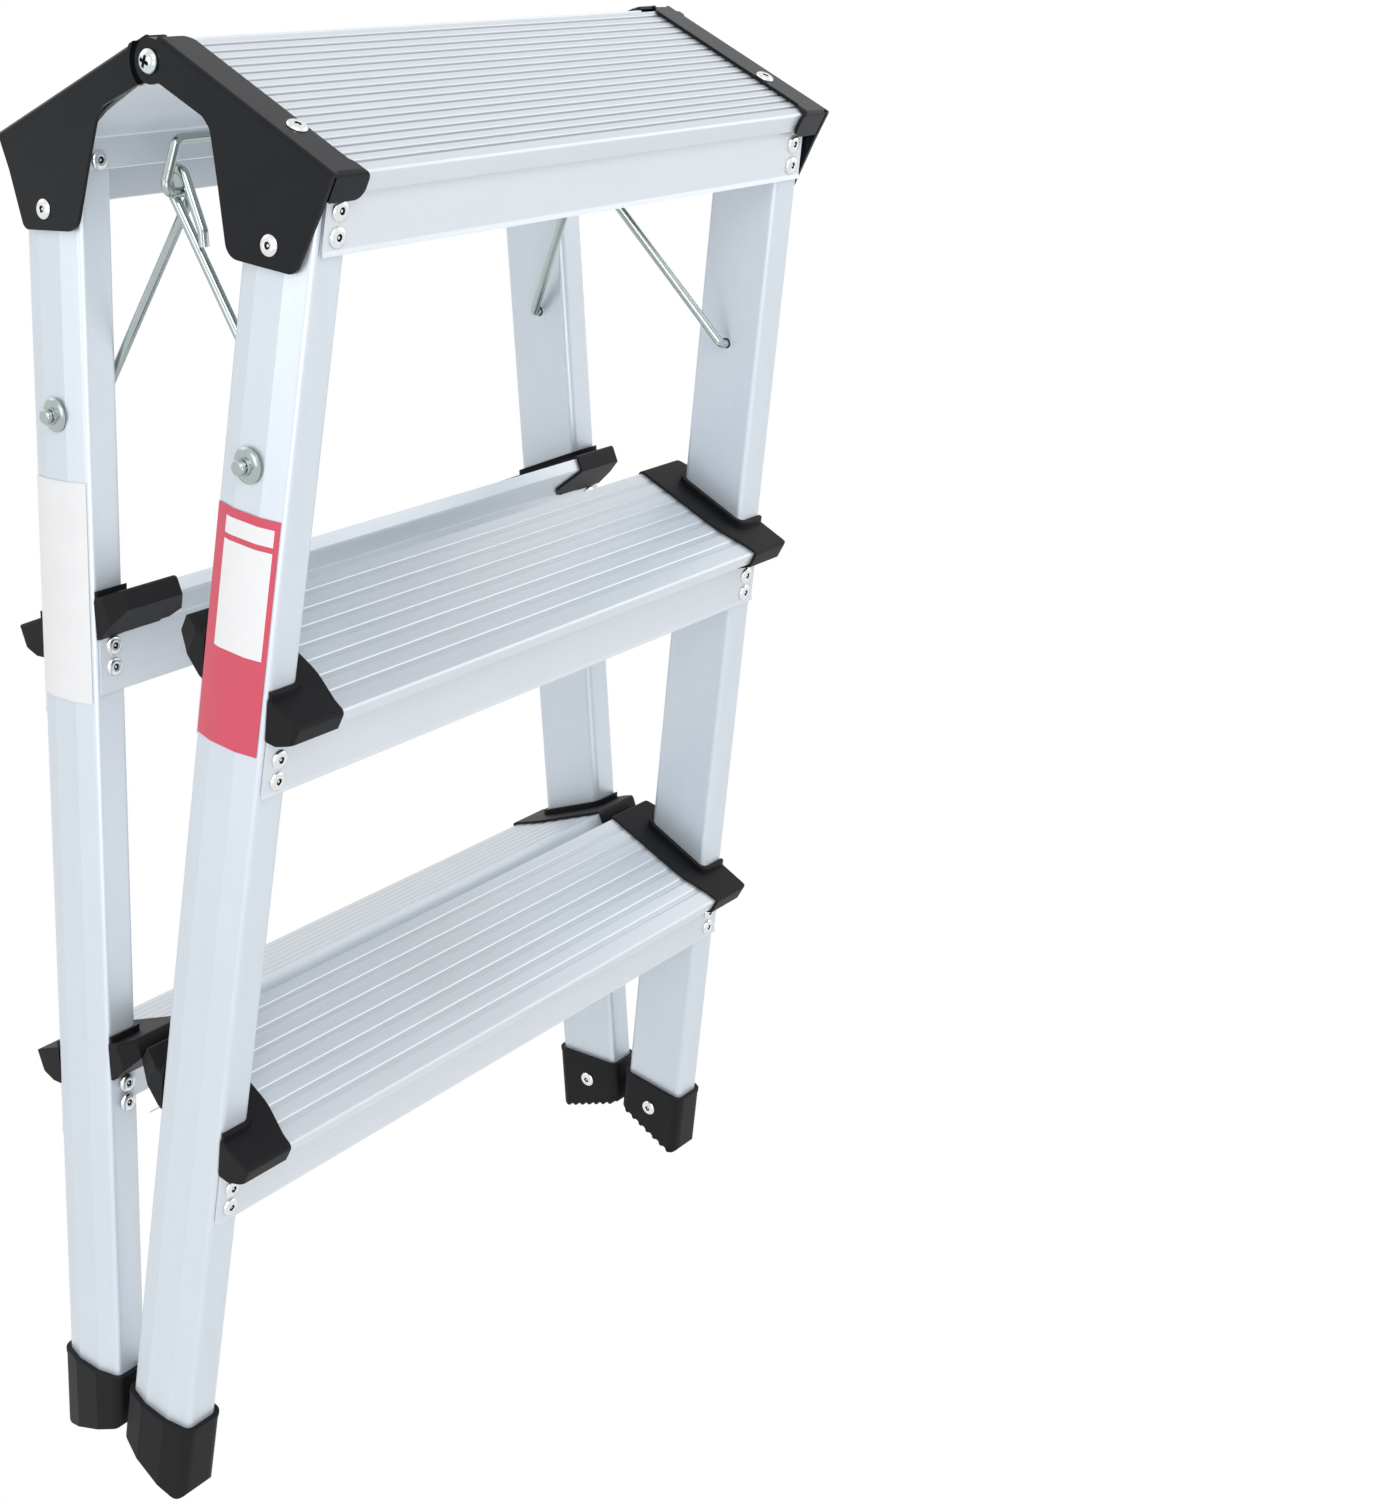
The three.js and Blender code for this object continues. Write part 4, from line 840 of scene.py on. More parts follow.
def mark_groove_shade(body, top, height, depth):
    """Marks the points on a rib's groove floor with a strength of painted shade for the metal's colour."""
    groove_shade = body.data.attributes.new("groove_shade", "FLOAT", "POINT")
    for vertex, value in zip(body.data.vertices, groove_shade.data):
        down = (top - vertex.co.z) / height
        value.value = depth * float(0.9 < down < 1.1)


def beaded_edge(line, bottom):
    tread = settings().tread
    face = line.rail.clear + tread.skin
    bead_top = bottom + tread.bead_height
    return [
        (line.front(bead_top) + face, bead_top),
        (line.front(bead_top) + face + tread.bead, bead_top - tread.bead),
        (line.front(bottom) + face + tread.bead, bottom + 0.4 * MM),
        (line.front(bottom) + face + 0.2 * MM, bottom),
        (line.front(bottom) + line.rail.clear, bottom),
    ]


def apron_ends(line, top, bottom):
    """Cutters that slant the aprons' ends along the rails."""
    far = 2 * line.rail.corner_x
    end = settings().tread.apron_end
    outline = [
        (line.flared(line.rail.corner_x, top) - end, top),
        (far, top),
        (far, bottom),
        (line.flared(line.rail.corner_x, bottom) - end, bottom),
    ]
    side = along_y(outline, -far, 2 * far)
    other = moved(copy_of(side), Matrix.Diagonal((-1, 1, 1, 1)))
    return [side, other]


class LADDER_OT_top_treads(Operator):
    """Two ribbed top treads with their aprons"""
    bl_idname = "ladder.top_treads"
    bl_label = "Top treads"

    def execute(self, context):
        line = RailLine()
        tread = settings().tread
        sizes = settings().top_tread
        skin = tread.skin
        clear = line.rail.clear
        face = clear + skin
        top = tread.rib_z
        under = top - sizes.rib_height - sizes.sheet
        nose_z = top - sizes.nose
        back_z = top - sizes.back_height
        web_z = top - sizes.web
        outer_z = top - sizes.outer_apron
        inner_z = top - sizes.inner_apron
        nose_u = line.front(nose_z) + face + sizes.overhang
        bow_u = sizes.back + (line.back(web_z) - face - sizes.back) * BOW_AT
        bow_z = back_z + (web_z - back_z) * BOW_AT + sizes.bow
        outline = rounded([
            *ribbed(sizes.back, nose_u, top, sizes.rib_height, sizes.ribs)[:-1],
            (nose_u, top, 1.6 * MM),
            (nose_u, nose_z, 0.8 * MM),
            (line.front(nose_z) + face, nose_z),
            *beaded_edge(line, outer_z),
            (line.front(under) + clear, under),
            (line.back(under) - clear, under),
            (line.back(inner_z) - clear, inner_z),
            (line.back(inner_z) - face, inner_z),
            (line.back(web_z) - face, web_z, 1.5 * MM),
            (bow_u, bow_z, 20 * MM),
            (sizes.back, back_z, 0.8 * MM),
        ], 4)
        end_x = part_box("rear_top_tread")[1].x
        body = along_x(outline, -end_x, end_x)
        cell = along_x([
            (sizes.back + skin, under),
            (line.back(under) - face, under),
            (line.back(web_z + skin) - face, web_z + skin),
            (bow_u, bow_z + skin),
            (sizes.back + skin, back_z + skin),
        ], 3 * MM - end_x, end_x - 3 * MM)
        notches = [cylinder_x(sizes.notch, side * (end_x - sizes.notch_length), side * (end_x + 10 * MM))
                   for side in SIDES]
        carve(body, [cell, *notches, *apron_ends(line, nose_z, outer_z - 1 * MM)])
        soften(body, 0)
        mark_groove_shade(body, top, sizes.rib_height, 1)
        smooth(body, 25)
        place_treads(body, "top")
        return {"FINISHED"}


def place_treads(body, level):
    metal = bpy.data.materials.get("tread metal") or tread_metal()
    for frame_name in ("rear", "front"):
        twin = moved(copy_of(body), frame_matrix(frame_name))
        declare(twin, f"{frame_name}_{level}_step", f"{frame_name}_frame",
                metal, [f"{frame_name}_{level}_tread"])
    bpy.data.objects.remove(body, do_unlink=True)


class LADDER_OT_lower_treads(Operator):
    """Middle and bottom treads: ribbed plates with a hollow nose and two aprons"""
    bl_idname = "ladder.lower_treads"
    bl_label = "Lower treads"

    def execute(self, context):
        tread = settings().tread
        for level, drop in (("mid", tread.mid_drop), ("bottom", tread.bottom_drop)):
            place_treads(self.make(tread.rib_z - drop), level)
        return {"FINISHED"}

    def make(self, top):
        line = RailLine()
        tread = settings().tread
        clear = line.rail.clear
        skin = tread.skin
        face = clear + skin
        middle = line.centre(top) + tread.offset
        back = middle - tread.depth / 2
        front = middle + tread.depth / 2
        bottom = top - tread.apron
        under = top - tread.rib_height - tread.sheet
        shallow = tread.rib_height / 2
        knee = (front - tread.neck_back, top - tread.neck_drop)
        nose = (front, top - tread.nose)
        slope_z = top - tread.slope
        lip_z = top - tread.lip
        end_x = line.flared(line.inner_x, top) - tread.end_gap
        outline = rounded([
            *ribbed(back, front, top, shallow, tread.ribs)[:-1],
            (front, top, 1.5 * MM),
            (*nose, 1.5 * MM),
            (*knee, 3 * MM),
            (line.front(slope_z) + face, slope_z, 0.8 * MM),
            *beaded_edge(line, bottom),
            (line.front(under) + clear, under),
            (back + skin, under),
            (back + skin, lip_z + skin / 2),
            (line.back(slope_z + skin) - clear, slope_z + skin),
            (line.back(bottom) - clear, bottom),
            (line.back(bottom) - face, bottom),
            (line.back(slope_z) - face, slope_z, 2 * MM),
            (back, lip_z, 1.5 * MM),
        ], 4)
        body = along_x(outline, -end_x, end_x)
        cell = along_x(inset([
            (line.front(slope_z) + clear, slope_z),
            knee,
            nose,
            (front, under + skin),
            (line.front(under + skin) + clear, under + skin),
        ], skin), -end_x - 1 * MM, end_x + 1 * MM)
        carve(body, [cell])
        reach = line.flared(line.rail.corner_x, bottom)
        end_z = slope_z - tread.apron_gap
        outer = along_x([
            (line.front(end_z) + clear, end_z),
            (line.front(end_z) + face, end_z),
            *beaded_edge(line, bottom),
        ], -reach, reach)
        inner = along_x([
            (line.back(end_z) - clear, end_z),
            (line.back(bottom) - clear, bottom),
            (line.back(bottom) - face, bottom),
            (line.back(end_z) - face, end_z),
        ], -reach, reach)
        fuse(body, [outer, inner])
        carve(body, apron_ends(line, top + 1 * MM, bottom - 1 * MM))
        soften(body, 0)
        mark_groove_shade(body, top, shallow, 0.15)
        return smooth(body, 25)


class LADDER_OT_rivets(Operator):
    """Blind rivets with a domed rim and an open mandrel hole"""
    bl_idname = "ladder.rivets"
    bl_label = "Rivets"

    def execute(self, context):
        line = RailLine()
        tread = settings().tread
        metal = bright_metal("rivet metal", settings().finish.rivet, 0.2)
        face = line.rail.clear + tread.skin
        front_normal = Vector((0, 1, line.slope)).normalized()
        outer_normal = Vector((1, 0, line.rail.flare)).normalized()
        top = tread.rib_z
        groups = [(top, (17.3, 27.1), (28.6,))]
        for drop in (tread.mid_drop, tread.bottom_drop):
            groups.append((top - drop, (26, 35.6), (20.9, 30.4)))
        count = 0
        for rib_z, outer, inner in groups:
            for drops, run, normal in ((outer, line.front, front_normal),
                                       (inner, line.back, -front_normal)):
                for drop in drops:
                    z = rib_z - drop * MM
                    sign = 1 if normal.y > 0 else -1
                    x = line.flared(line.rail.corner_x, z) - settings().fastener.rivet_inset
                    point = Vector((x, run(z) + sign * face, z))
                    count += 1
                    self.put(point, normal, f"apron_rivet_{count}", metal, None)
        z = top - 39.8 * MM
        point = Vector((line.flared(line.outer_x + line.rail.clear + 1.8 * MM, z), line.centre(z), z))
        self.put(point, outer_normal, "plate_fixing", metal, "plate_rivet")
        flange = Vector((self.flange_x(), 74.4 * MM, top + 1.8 * MM))
        self.put(flange, Vector((0, 0, 1)), "flange_fixing", metal, "flange_rivet")
        z = top - 590.3 * MM
        point = Vector((line.flared(line.inner_x, z) - line.rail.clear - 2.2 * MM, line.centre(z), z))
        self.put(point, -outer_normal, "foot_fixing", metal, "foot_rivet")
        return {"FINISHED"}

    def flange_x(self):
        low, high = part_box("rear_flange_rivet_right")
        return (low.x + high.x) / 2

    def put(self, point, normal, name, metal, node):
        sizes = settings().fastener
        head = sizes.rivet / 2
        dome = sizes.rivet_dome
        hole = sizes.mandrel
        rivet = turned([
            (head * 0.6, -1.2 * MM), (head * 0.98, 0.02 * MM), (head, 0.25 * MM), (head * 0.96, dome * 0.5),
            (head * 0.82, dome * 0.8), (head * 0.64, dome * 0.97), (head * 0.5, dome),
            (hole * 1.12, dome * 0.92), (hole, dome * 0.75), (hole * 0.97, 0.1 * MM), (hole * 0.6, 0),
            (hole * 0.55, dome * 0.55), (hole * 0.3, dome * 0.65), (hole * 0.05, dome * 0.65),
        ], 40)
        # Painted shade: the mandrel hole's wall and the floor round the mandrel are marked to be coloured
        # nearly black.
        recess = rivet.data.attributes.new("recess", "FLOAT", "POINT")
        for vertex, value in zip(rivet.data.vertices, recess.data):
            deep = vertex.co.xy.length < hole * 1.01 and vertex.co.z < dome * 0.8
            value.value = float(deep and vertex.co.xy.length > hole * 0.35)
        moved(rivet, Matrix.Translation(point) @ facing(normal))
        smooth(rivet, 40)
        place_in_frames(rivet, name, metal, node=node, replaces=bool(node))


class LADDER_OT_hinge_plates(Operator):
    """Pressed hinge plates: two flat, two dished round the hinge screw"""
    bl_idname = "ladder.hinge_plates"
    bl_label = "Hinge plates"

    def execute(self, context):
        coat = powder_coat()
        for side, dished in ((1, False), (-1, True)):
            plate = self.make(dished)
            place_in_frames(plate, "hinge_plate", coat, node="plate", sides=(side,))
        return {"FINISHED"}

    def make(self, dished):
        line = RailLine()
        tread = settings().tread
        sizes = settings().plate
        top = tread.rib_z + line.rail.clear + sizes.flange
        nose_z = tread.rib_z - settings().top_tread.nose
        nose_u = line.front(nose_z) + line.rail.clear + tread.skin + settings().top_tread.overhang
        edge = nose_u + line.rail.clear + sizes.sheet
        inner = line.outer_x + line.rail.clear - line.rail.flare * sizes.bend
        outer = inner + sizes.sheet
        flange_x = outer - sizes.flange_width
        low = sizes.corner_z - 25 * MM
        out = 1 * MM
        outline = rounded([
            (0, top),
            (edge, top),
            (edge, sizes.corner_z + line.slope * (edge - sizes.corner_u), 5 * MM),
            (sizes.corner_u, sizes.corner_z, 8 * MM),
            (56.8 * MM, -25.1 * MM, 30 * MM),
            (48.1 * MM, -14.5 * MM, 12 * MM),
            (42 * MM, -7.2 * MM, 6 * MM),
            (36.1 * MM, -4.9 * MM, 6 * MM),
            (0, -5.8 * MM),
        ], 10)
        plate = along_x(outline, flange_x - out, outer)
        folded = along_y(rounded([
            (outer, low),
            (outer, top, sizes.fold),
            (flange_x, top),
            (flange_x, top - sizes.flange),
            (inner, top - sizes.flange, 0.4 * MM),
            (inner, low),
        ], 8), -out, edge)
        tab_x = inner - sizes.slit
        tab_back = edge - sizes.sheet - 1 * MM
        plan = upright(rounded([
            (flange_x, sizes.flange_start, sizes.flange_corner),
            (inner, sizes.flange_start),
            (inner, -2 * out),
            (outer + out, -2 * out),
            (outer + out, edge + out),
            (tab_x, edge + out),
            (tab_x, tab_back),
            (flange_x, tab_back),
        ], 8), low - out, top + out)
        boolean(plate, [folded, plan], "INTERSECT")
        fuse(plate, [self.tab(tab_x, edge, top)])
        lobe_at = inner
        if dished:
            dish_outer = inner - line.rail.clear
            lobe_at = dish_outer - sizes.sheet
            well = sizes.dish - sizes.dish_wall
            bowl = cylinder_x(sizes.dish, lobe_at, outer, sides=72)
            boolean(bowl, [along_x(outline, lobe_at - out, outer + out)], "INTERSECT")
            fuse(plate, [bowl])
            carve(plate, [cylinder_x(well, dish_outer, outer + out, sides=72)])
        fuse(plate, [cylinder_x(sizes.lobe, lobe_at, lobe_at + sizes.sheet, sides=72)])
        carve(plate, [cylinder_x(sizes.hole, lobe_at - out, outer + out)])
        soften(plate, 0.25 * MM, 1, 50)
        edit(plate, lambda: bpy.ops.mesh.bisect(plane_co=(0, 0, sizes.bend), plane_no=(0, 0, 1)))
        for vertex in plate.data.vertices:
            if vertex.co.z < sizes.bend:
                vertex.co.x += line.rail.flare * (sizes.bend - vertex.co.z)
        return smooth(plate, 35)

    def tab(self, outer_x, edge, top):
        """The tab folded down over the tread's nose."""
        sizes = settings().plate
        inner_x = outer_x - sizes.tab_width
        bottom = settings().tread.rib_z - sizes.tab_drop
        back = edge - 9 * MM
        inside = edge - sizes.sheet
        tab = along_x(rounded([
            (inside, bottom),
            (edge, bottom),
            (edge, top, sizes.fold),
            (back, top),
            (back, top - sizes.flange),
            (inside, top - sizes.flange, 0.4 * MM),
        ], 8), inner_x, outer_x)
        front = along_y(rounded([
            (inner_x, bottom, 5 * MM),
            (outer_x, bottom, 1 * MM),
            (outer_x, top + 0.05 * MM),
            (inner_x, top + 0.05 * MM, 5 * MM),
        ], 8), back - 1 * MM, edge + 1 * MM)
        flange_x = outer_x + sizes.slit + sizes.sheet - sizes.flange_width
        plan = upright([
            (inner_x, inside - 0.2 * MM),
            (flange_x, back),
            (outer_x, back),
            (outer_x, edge + 1 * MM),
            (inner_x, edge + 1 * MM),
        ], bottom - 1 * MM, top + 1 * MM)
        return boolean(tab, [front, plan], "INTERSECT")


class LADDER_OT_caps(Operator):
    """Moulded end caps round each rail on the lower treads"""
    bl_idname = "ladder.caps"
    bl_label = "Tread caps"

    def execute(self, context):
        plastic = bpy.data.materials.get("moulded plastic") or moulded_plastic()
        for frame_name in ("rear", "front"):
            for side in SIDES.values():
                for level in ("mid", "bottom"):
                    node = f"{frame_name}_{level}_cap_{side}"
                    piece = refined(node, 0.45 * MM)
                    declare(piece, f"{frame_name}_{side}_{level}_end", f"{frame_name}_frame",
                            plastic, [node])
        return {"FINISHED"}


def refined(node, width):
    """A merged copy of a frame node with its edges rounded."""
    twin = copy_of(frame["nodes"][node])
    twin.parent = None
    twin.matrix_world = Matrix.Identity(4)
    twin.hide_render = False
    twin.hide_set(False)
    twin.data.materials.clear()
    return soften(twin, width)


class LADDER_OT_spreader(Operator):
    """The rear bail, the two front links and their push-on washers"""
    bl_idname = "ladder.spreader"
    bl_label = "Spreader"

    def execute(self, context):
        line = RailLine()
        sizes = settings().spreader
        zinc = bright_metal("rod zinc", settings().finish.zinc, 0.16)
        self.sizes = sizes
        open_z = pivot_open().z
        self.outer_x = line.flared(line.outer_x, open_z) + sizes.end
        self.turn_x = line.flared(line.inner_x, open_z) - sizes.turn_in
        self.eye_z = PIVOT.z + math.sqrt(sizes.arm ** 2 - PIVOT.y ** 2)
        declare(self.bail(), "rear_bail_wire", "rear_bail", zinc, ["rear_bail"])
        for side, word in SIDES.items():
            if side < 0:
                eye = sizes.near_arm + (sizes.near_loop - sizes.near_arm) * sizes.near_eye
            else:
                eye = (sizes.far_arm + sizes.far_loop) / 2
            declare(self.link(side, eye), f"front_link_{word}_wire", "front_links", zinc,
                    [f"front_link_{word}"])
            for stem, body, toward in (("rear_bail", "rear_bail", 1), ("front_link", "front_links", -1)):
                declare(self.washer(line, side, toward), f"{stem}_{word}_washer", body, zinc,
                        [f"{stem}_cap_{word}"])
        return {"FINISHED"}

    def head(self, side, y):
        """The rod's upset end."""
        sizes = self.sizes
        half = sizes.head / 2
        head = turned([(half * 0.7, 0), (half * 0.96, 0.3 * MM), (half, 0.8 * MM),
                       (half, sizes.head_length - 0.9 * MM), (half * 0.9, sizes.head_length - 0.3 * MM),
                       (half * 0.6, sizes.head_length)], 32)
        start = side * (self.outer_x - sizes.head_length)
        return moved(head, Matrix.Translation((start, y, PIVOT.z)) @ facing((side, 0, 0)))

    def bail(self):
        sizes = self.sizes
        bar_z = self.eye_z + sizes.rise
        end_x = self.outer_x - 0.5 * MM
        line = bent_line([
            Vector((-end_x, PIVOT.y, PIVOT.z)),
            Vector((-self.turn_x, PIVOT.y, PIVOT.z)),
            Vector((-sizes.near_arm, 0, self.eye_z)),
            Vector((-sizes.near_loop, 0, self.eye_z)),
            Vector((-sizes.near_bar, 0, bar_z)),
            Vector((sizes.far_bar, 0, bar_z)),
            Vector((sizes.far_loop, 0, self.eye_z)),
            Vector((sizes.far_arm, 0, self.eye_z)),
            Vector((self.turn_x, PIVOT.y, PIVOT.z)),
            Vector((end_x, PIVOT.y, PIVOT.z)),
        ], sizes.bend)
        rod = wire(line, sizes.rod)
        fuse(rod, [self.head(-1, PIVOT.y), self.head(1, PIVOT.y)])
        return smooth(rod, 50)

    def link(self, side, eye_x):
        """A link's arm, the eye round the bail and the leg doubled back along the arm."""
        sizes = self.sizes
        lean = math.atan2(self.eye_z - PIVOT.z, PIVOT.y)
        along = Vector((0, math.cos(lean), math.sin(lean)))
        across = Vector((0, math.sin(lean), -math.cos(lean)))
        radius = sizes.rod + sizes.eye_gap
        centre = 2 * pivot_open().y - sizes.arm + sizes.eye_slack - sizes.eye_gap

        def spot(x, a, b):
            return Vector((side * x, -PIVOT.y, PIVOT.z)) + along * a + across * b

        arm = bent_line([
            spot(self.outer_x - 0.5 * MM, 0, 0),
            spot(self.turn_x, 0, 0),
            spot(eye_x, centre, radius),
        ], sizes.bend)
        hook = [spot(eye_x, centre + radius * math.sin(math.pi * i / 20), radius * math.cos(math.pi * i / 20))
                for i in range(1, 20)]
        kink = sizes.leg * 0.8
        leg = bent_line([
            spot(eye_x, centre, -radius),
            spot(eye_x, centre - kink, -radius * 0.6),
            spot(eye_x, centre - sizes.leg, -sizes.rod * 0.1),
        ], sizes.bend)
        rod = wire([*arm, *hook, *leg], sizes.rod)
        fuse(rod, [self.head(side, -PIVOT.y)])
        return smooth(rod, 50)

    def washer(self, line, side, toward):
        sizes = self.sizes
        rim = sizes.washer / 2
        collar = sizes.washer_collar / 2
        tall = sizes.washer_height
        washer = turned([
            (rim * 0.97, 0), (rim, 0.2 * MM), (rim * 0.99, 0.5 * MM), (rim * 0.9, 1.1 * MM),
            (rim * 0.76, 1.5 * MM), (rim * 0.62, 1.6 * MM), (collar, 1.8 * MM), (collar * 0.98, tall * 0.8),
            (collar * 0.92, tall * 0.96), (collar * 0.8, tall),
        ], 48)
        bore = turned([(sizes.rod * 0.54, -1 * MM), (sizes.rod * 0.54, tall + 1 * MM)], 32)
        carve(washer, [bore])
        seat = line.flared(line.outer_x, pivot_open().z) + line.rail.clear + line.rail.flare * rim
        moved(washer, Matrix.Translation((side * seat, toward * PIVOT.y, PIVOT.z)) @ facing((side, 0, 0)))
        return smooth(washer, 35)


class LADDER_OT_hinge_screws(Operator):
    """Pan-head hinge screws with a cross recess, and their nuts"""
    bl_idname = "ladder.hinge_screws"
    bl_label = "Hinge screws"

    def execute(self, context):
        zinc = bright_metal("screw zinc", shade(settings().finish.zinc, 1.5), 0.16)
        screw = self.screw()
        for side, word in SIDES.items():
            twin = moved(copy_of(screw), Matrix.Diagonal((side, 1, 1, 1)))
            declare(twin, f"{word}_hinge_screw", "hinge", zinc, [f"hinge_screw_{word}"])
            nut = f"hinge_nut_{word}"
            declare(refined(nut, 0.3 * MM), f"{word}_hinge_nut", "hinge", zinc, [nut])
        bpy.data.objects.remove(screw, do_unlink=True)
        return {"FINISHED"}

    def screw(self):
        sizes = settings().fastener
        head = sizes.screw / 2
        tall = sizes.screw_height
        low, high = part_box("hinge_screw_right")
        seat = high.x - tall
        length_in = seat - low.x
        screw = turned([
            (2.2 * MM, -length_in), (2.5 * MM, 0.5 * MM - length_in), (2.5 * MM, 0), (head * 0.97, 0.01 * MM),
            (head, 0.4 * MM), (head * 0.98, 1.1 * MM), (head * 0.88, tall * 0.58), (head * 0.7, tall * 0.82),
            (head * 0.45, tall * 0.96), (head * 0.1, tall),
        ], 48)
        reach = sizes.recess
        slim = reach * 0.3
        depth = tall - 2.2 * MM
        cross = upright(rectangle(-reach, -slim, reach, slim), depth, tall + 1 * MM)
        fuse(cross, [upright(rectangle(-slim, -reach, slim, reach), depth, tall + 1 * MM)])
        carve(screw, [cross])
        edit(screw, lambda: bpy.ops.mesh.remove_doubles(threshold=0.01 * MM))
        # Painted shade: the floor of the cross recess is marked to be coloured nearly black.
        recess = screw.data.attributes.new("recess", "FLOAT", "POINT")
        for vertex, value in zip(screw.data.vertices, recess.data):
            value.value = float(abs(vertex.co.z - depth) < 0.01 * MM and vertex.co.xy.length < reach * 1.2)
        turn = Matrix.Rotation(math.radians(20), 4, "Z")
        moved(screw, Matrix.Translation((seat, 0, HINGE_Z)) @ facing((1, 0, 0)) @ turn)
        return smooth(screw, 35)


class LADDER_OT_labels(Operator):
    """Bare label films on the two left rails"""
    bl_idname = "ladder.labels"
    bl_label = "Labels"

    def execute(self, context):
        finish = settings().finish
        for frame_name, colour in (("front", finish.red), ("rear", finish.white)):
            node = f"{frame_name}_label"
            shader = Shader(f"{frame_name} label film", Metallic=0.0, Coat_Weight=0.3)
            place = shader.place()
            cloud = shader.noise(place, 70.0, 2.0, 0.5)
            field = shader.mix(cloud, shade(colour, 0.95), shade(colour, 1.03))
            if frame_name == "front":
                field = shader.mix(self.panels(shader), field, finish.white)
            shader.put("Base Color", field)
            shader.put("Roughness", 0.32 + cloud * 0.1)
            piece = refined(node, 0)
            declare(piece, f"{frame_name}_rail_label", f"{frame_name}_frame",
                    shader.material, [node])
        return {"FINISHED"}

    def panels(self, shader):
        """1 on the red film's blank panel and blank strip."""
        line = RailLine()
        sizes = settings().label
        turn = frame_matrix("front")
        lean = line.rail.lean
        down = Vector((0, math.sin(lean), -math.cos(lean)))
        across = Vector((0, math.cos(lean), math.sin(lean)))
        place = shader.place()
        origin = turn.translation
        turn = turn.to_3x3()
        run = shader.dot(place, turn @ down) - origin.dot(turn @ down)
        over = shader.dot(place, turn @ across) - origin.dot(turn @ across)
        middle = line.centre(0)
        rib_z = settings().tread.rib_z

        def at(drop):
            z = rib_z - drop
            return down.dot(Vector((0, line.centre(z), z)))

        centre = middle * math.cos(lean)
        width = over.between(centre + sizes.left, centre + sizes.right)
        panel = run.between(at(sizes.panel_top), at(sizes.panel_bottom))
        strip = run.between(at(sizes.strip_top), at(sizes.strip_bottom))
        return width * (panel + strip)


# ------------------------------------------------------------------ stage

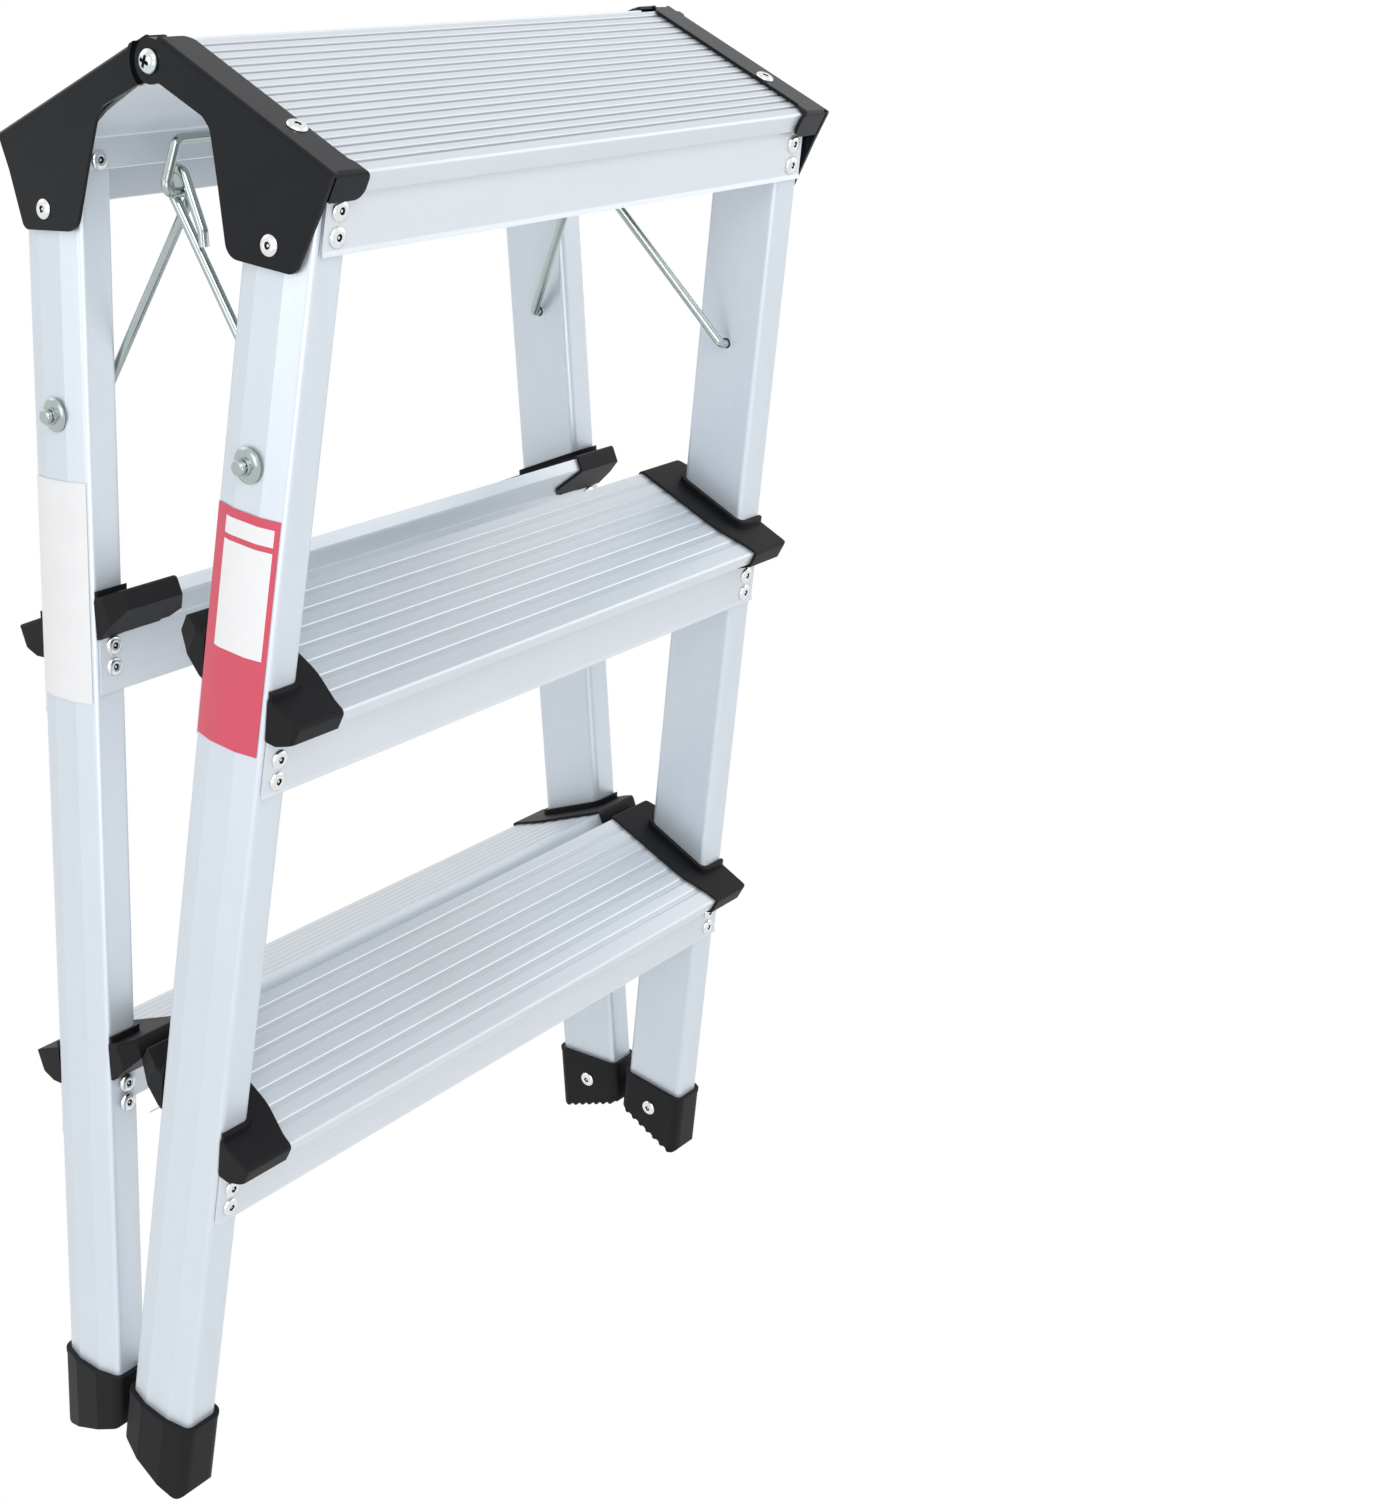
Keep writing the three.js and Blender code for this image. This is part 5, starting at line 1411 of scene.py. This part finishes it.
class LADDER_OT_stage(Operator):
    """Pale floor, soft studio light, white surroundings and the camera"""
    bl_idname = "ladder.stage"
    bl_label = "Stage"

    def execute(self, context):
        scene = context.scene
        scene.view_settings.view_transform = "Standard"
        self.floor()
        self.world(scene)
        self.lamps()
        self.camera(scene)
        return {"FINISHED"}

    def floor(self):
        deselect()
        bpy.ops.mesh.primitive_plane_add(size=12, location=(0, 0, -0.0005))
        floor = bpy.context.object
        floor.name = "floor"
        shader = Shader("floor", Base_Color=(0.9, 0.9, 0.9), Roughness=0.9)
        seen = self.seen(shader)
        glow = shader.node("ShaderNodeEmission", None, {"Color": (1, 1, 1, 1), "Strength": 1.0})
        surface = Value(shader, shader.surface.outputs[0])
        mixed = shader.node("ShaderNodeMixShader", None, [seen, surface, glow])
        out = shader.tree.nodes["Material Output"]
        shader.tree.links.new(mixed.socket, out.inputs[0])
        floor.data.materials.append(shader.material)

    def seen(self, shader):
        """1 for what the camera, a mirror or glass sees directly."""
        ray = shader.tree.nodes.new("ShaderNodeLightPath")
        camera = Value(shader, ray.outputs["Is Camera Ray"])
        glossy = Value(shader, ray.outputs["Is Glossy Ray"])
        through = Value(shader, ray.outputs["Is Transmission Ray"])
        return camera.math("MAXIMUM", glossy.math("MAXIMUM", through))

    def world(self, scene):
        world = bpy.data.worlds.new("studio")
        scene.world = world
        world.use_nodes = True
        tree = world.node_tree
        background = tree.nodes["Background"]
        background.inputs["Color"].default_value = (1, 1, 1, 1)
        ray = tree.nodes.new("ShaderNodeLightPath")
        first = tree.nodes.new("ShaderNodeMath")
        first.operation = "MAXIMUM"
        tree.links.new(ray.outputs["Is Camera Ray"], first.inputs[0])
        tree.links.new(ray.outputs["Is Glossy Ray"], first.inputs[1])
        second = tree.nodes.new("ShaderNodeMath")
        second.operation = "MAXIMUM"
        tree.links.new(first.outputs[0], second.inputs[0])
        tree.links.new(ray.outputs["Is Transmission Ray"], second.inputs[1])
        strength = tree.nodes.new("ShaderNodeMapRange")
        strength.inputs["To Min"].default_value = 0.55
        strength.inputs["To Max"].default_value = 1.0
        tree.links.new(second.outputs[0], strength.inputs["Value"])
        tree.links.new(strength.outputs[0], background.inputs["Strength"])

    def lamps(self):
        for name, place, size, power in (
            ("key lamp", (-1.1, -1.4, 1.9), 1.2, 22),
            ("side lamp", (-2.0, 0.2, 0.75), 1.0, 4),
            ("front lamp", (-1.5, -1.6, 0.3), 0.5, 6),
            ("fill lamp", (1.8, -1.0, 1.2), 1.6, 6),
            ("back lamp", (-0.6, 1.8, 1.8), 1.6, 6),
        ):
            data = bpy.data.lights.new(name, "AREA")
            data.energy = power
            data.size = size
            lamp = bpy.data.objects.new(name, data)
            bpy.context.collection.objects.link(lamp)
            lamp.location = place
            aim = Vector((0, 0, 0.35)) - Vector(place)
            lamp.rotation_euler = aim.to_track_quat("-Z", "Y").to_euler()

    def camera(self, scene):
        data = bpy.data.cameras.new("camera")
        data.sensor_fit = "HORIZONTAL"
        data.sensor_width = 36
        data.lens = 53.65
        data.shift_x = 0.2648
        data.shift_y = -0.0774
        data.clip_start = 0.01
        data.clip_end = 50
        camera = bpy.data.objects.new("camera", data)
        bpy.context.collection.objects.link(camera)
        right = Vector((0.6928, -0.7211, 0.0041))
        up = Vector((0.2417, 0.2375, 0.9408))
        right.normalize()
        up = (up - right * up.dot(right)).normalized()
        back = right.cross(up)
        turn = Matrix((right, up, back)).transposed().to_4x4()
        place = Vector((-0.7619, -0.6610, HINGE_Z + 0.0653))
        camera.matrix_world = Matrix.Translation(place) @ turn
        scene.camera = camera


# ------------------------------------------------------------------ panel and main

class LADDER_PT_pieces(Panel):
    bl_idname = "LADDER_PT_pieces"
    bl_label = "Step ladder"
    bl_space_type = "VIEW_3D"
    bl_region_type = "UI"
    bl_category = "Step ladder"

    def draw(self, context):
        for operator in OPERATORS:
            self.layout.operator(operator.bl_idname)


OPERATORS = (
    LADDER_OT_stage,
    LADDER_OT_rails,
    LADDER_OT_feet,
    LADDER_OT_top_treads,
    LADDER_OT_lower_treads,
    LADDER_OT_caps,
    LADDER_OT_hinge_plates,
    LADDER_OT_hinge_screws,
    LADDER_OT_spreader,
    LADDER_OT_rivets,
    LADDER_OT_labels,
)
SETTINGS = (RailSizes, TreadSizes, TopTreadSizes, FootSizes, PlateSizes, SpreaderSizes, LabelSizes,
            FastenerSizes, Finishes, LadderSettings)
CLASSES = (*SETTINGS, *OPERATORS, LADDER_PT_pieces)


def register():
    for cls in CLASSES:
        bpy.utils.register_class(cls)
    bpy.types.Scene.ladder = PointerProperty(type=LadderSettings)


def unregister():
    del bpy.types.Scene.ladder
    for cls in reversed(CLASSES):
        bpy.utils.unregister_class(cls)


def main():
    register()
    for operator in OPERATORS:
        group, name = operator.bl_idname.split(".")
        getattr(getattr(bpy.ops, group), name)()


if __name__ == "__main__":
    main()
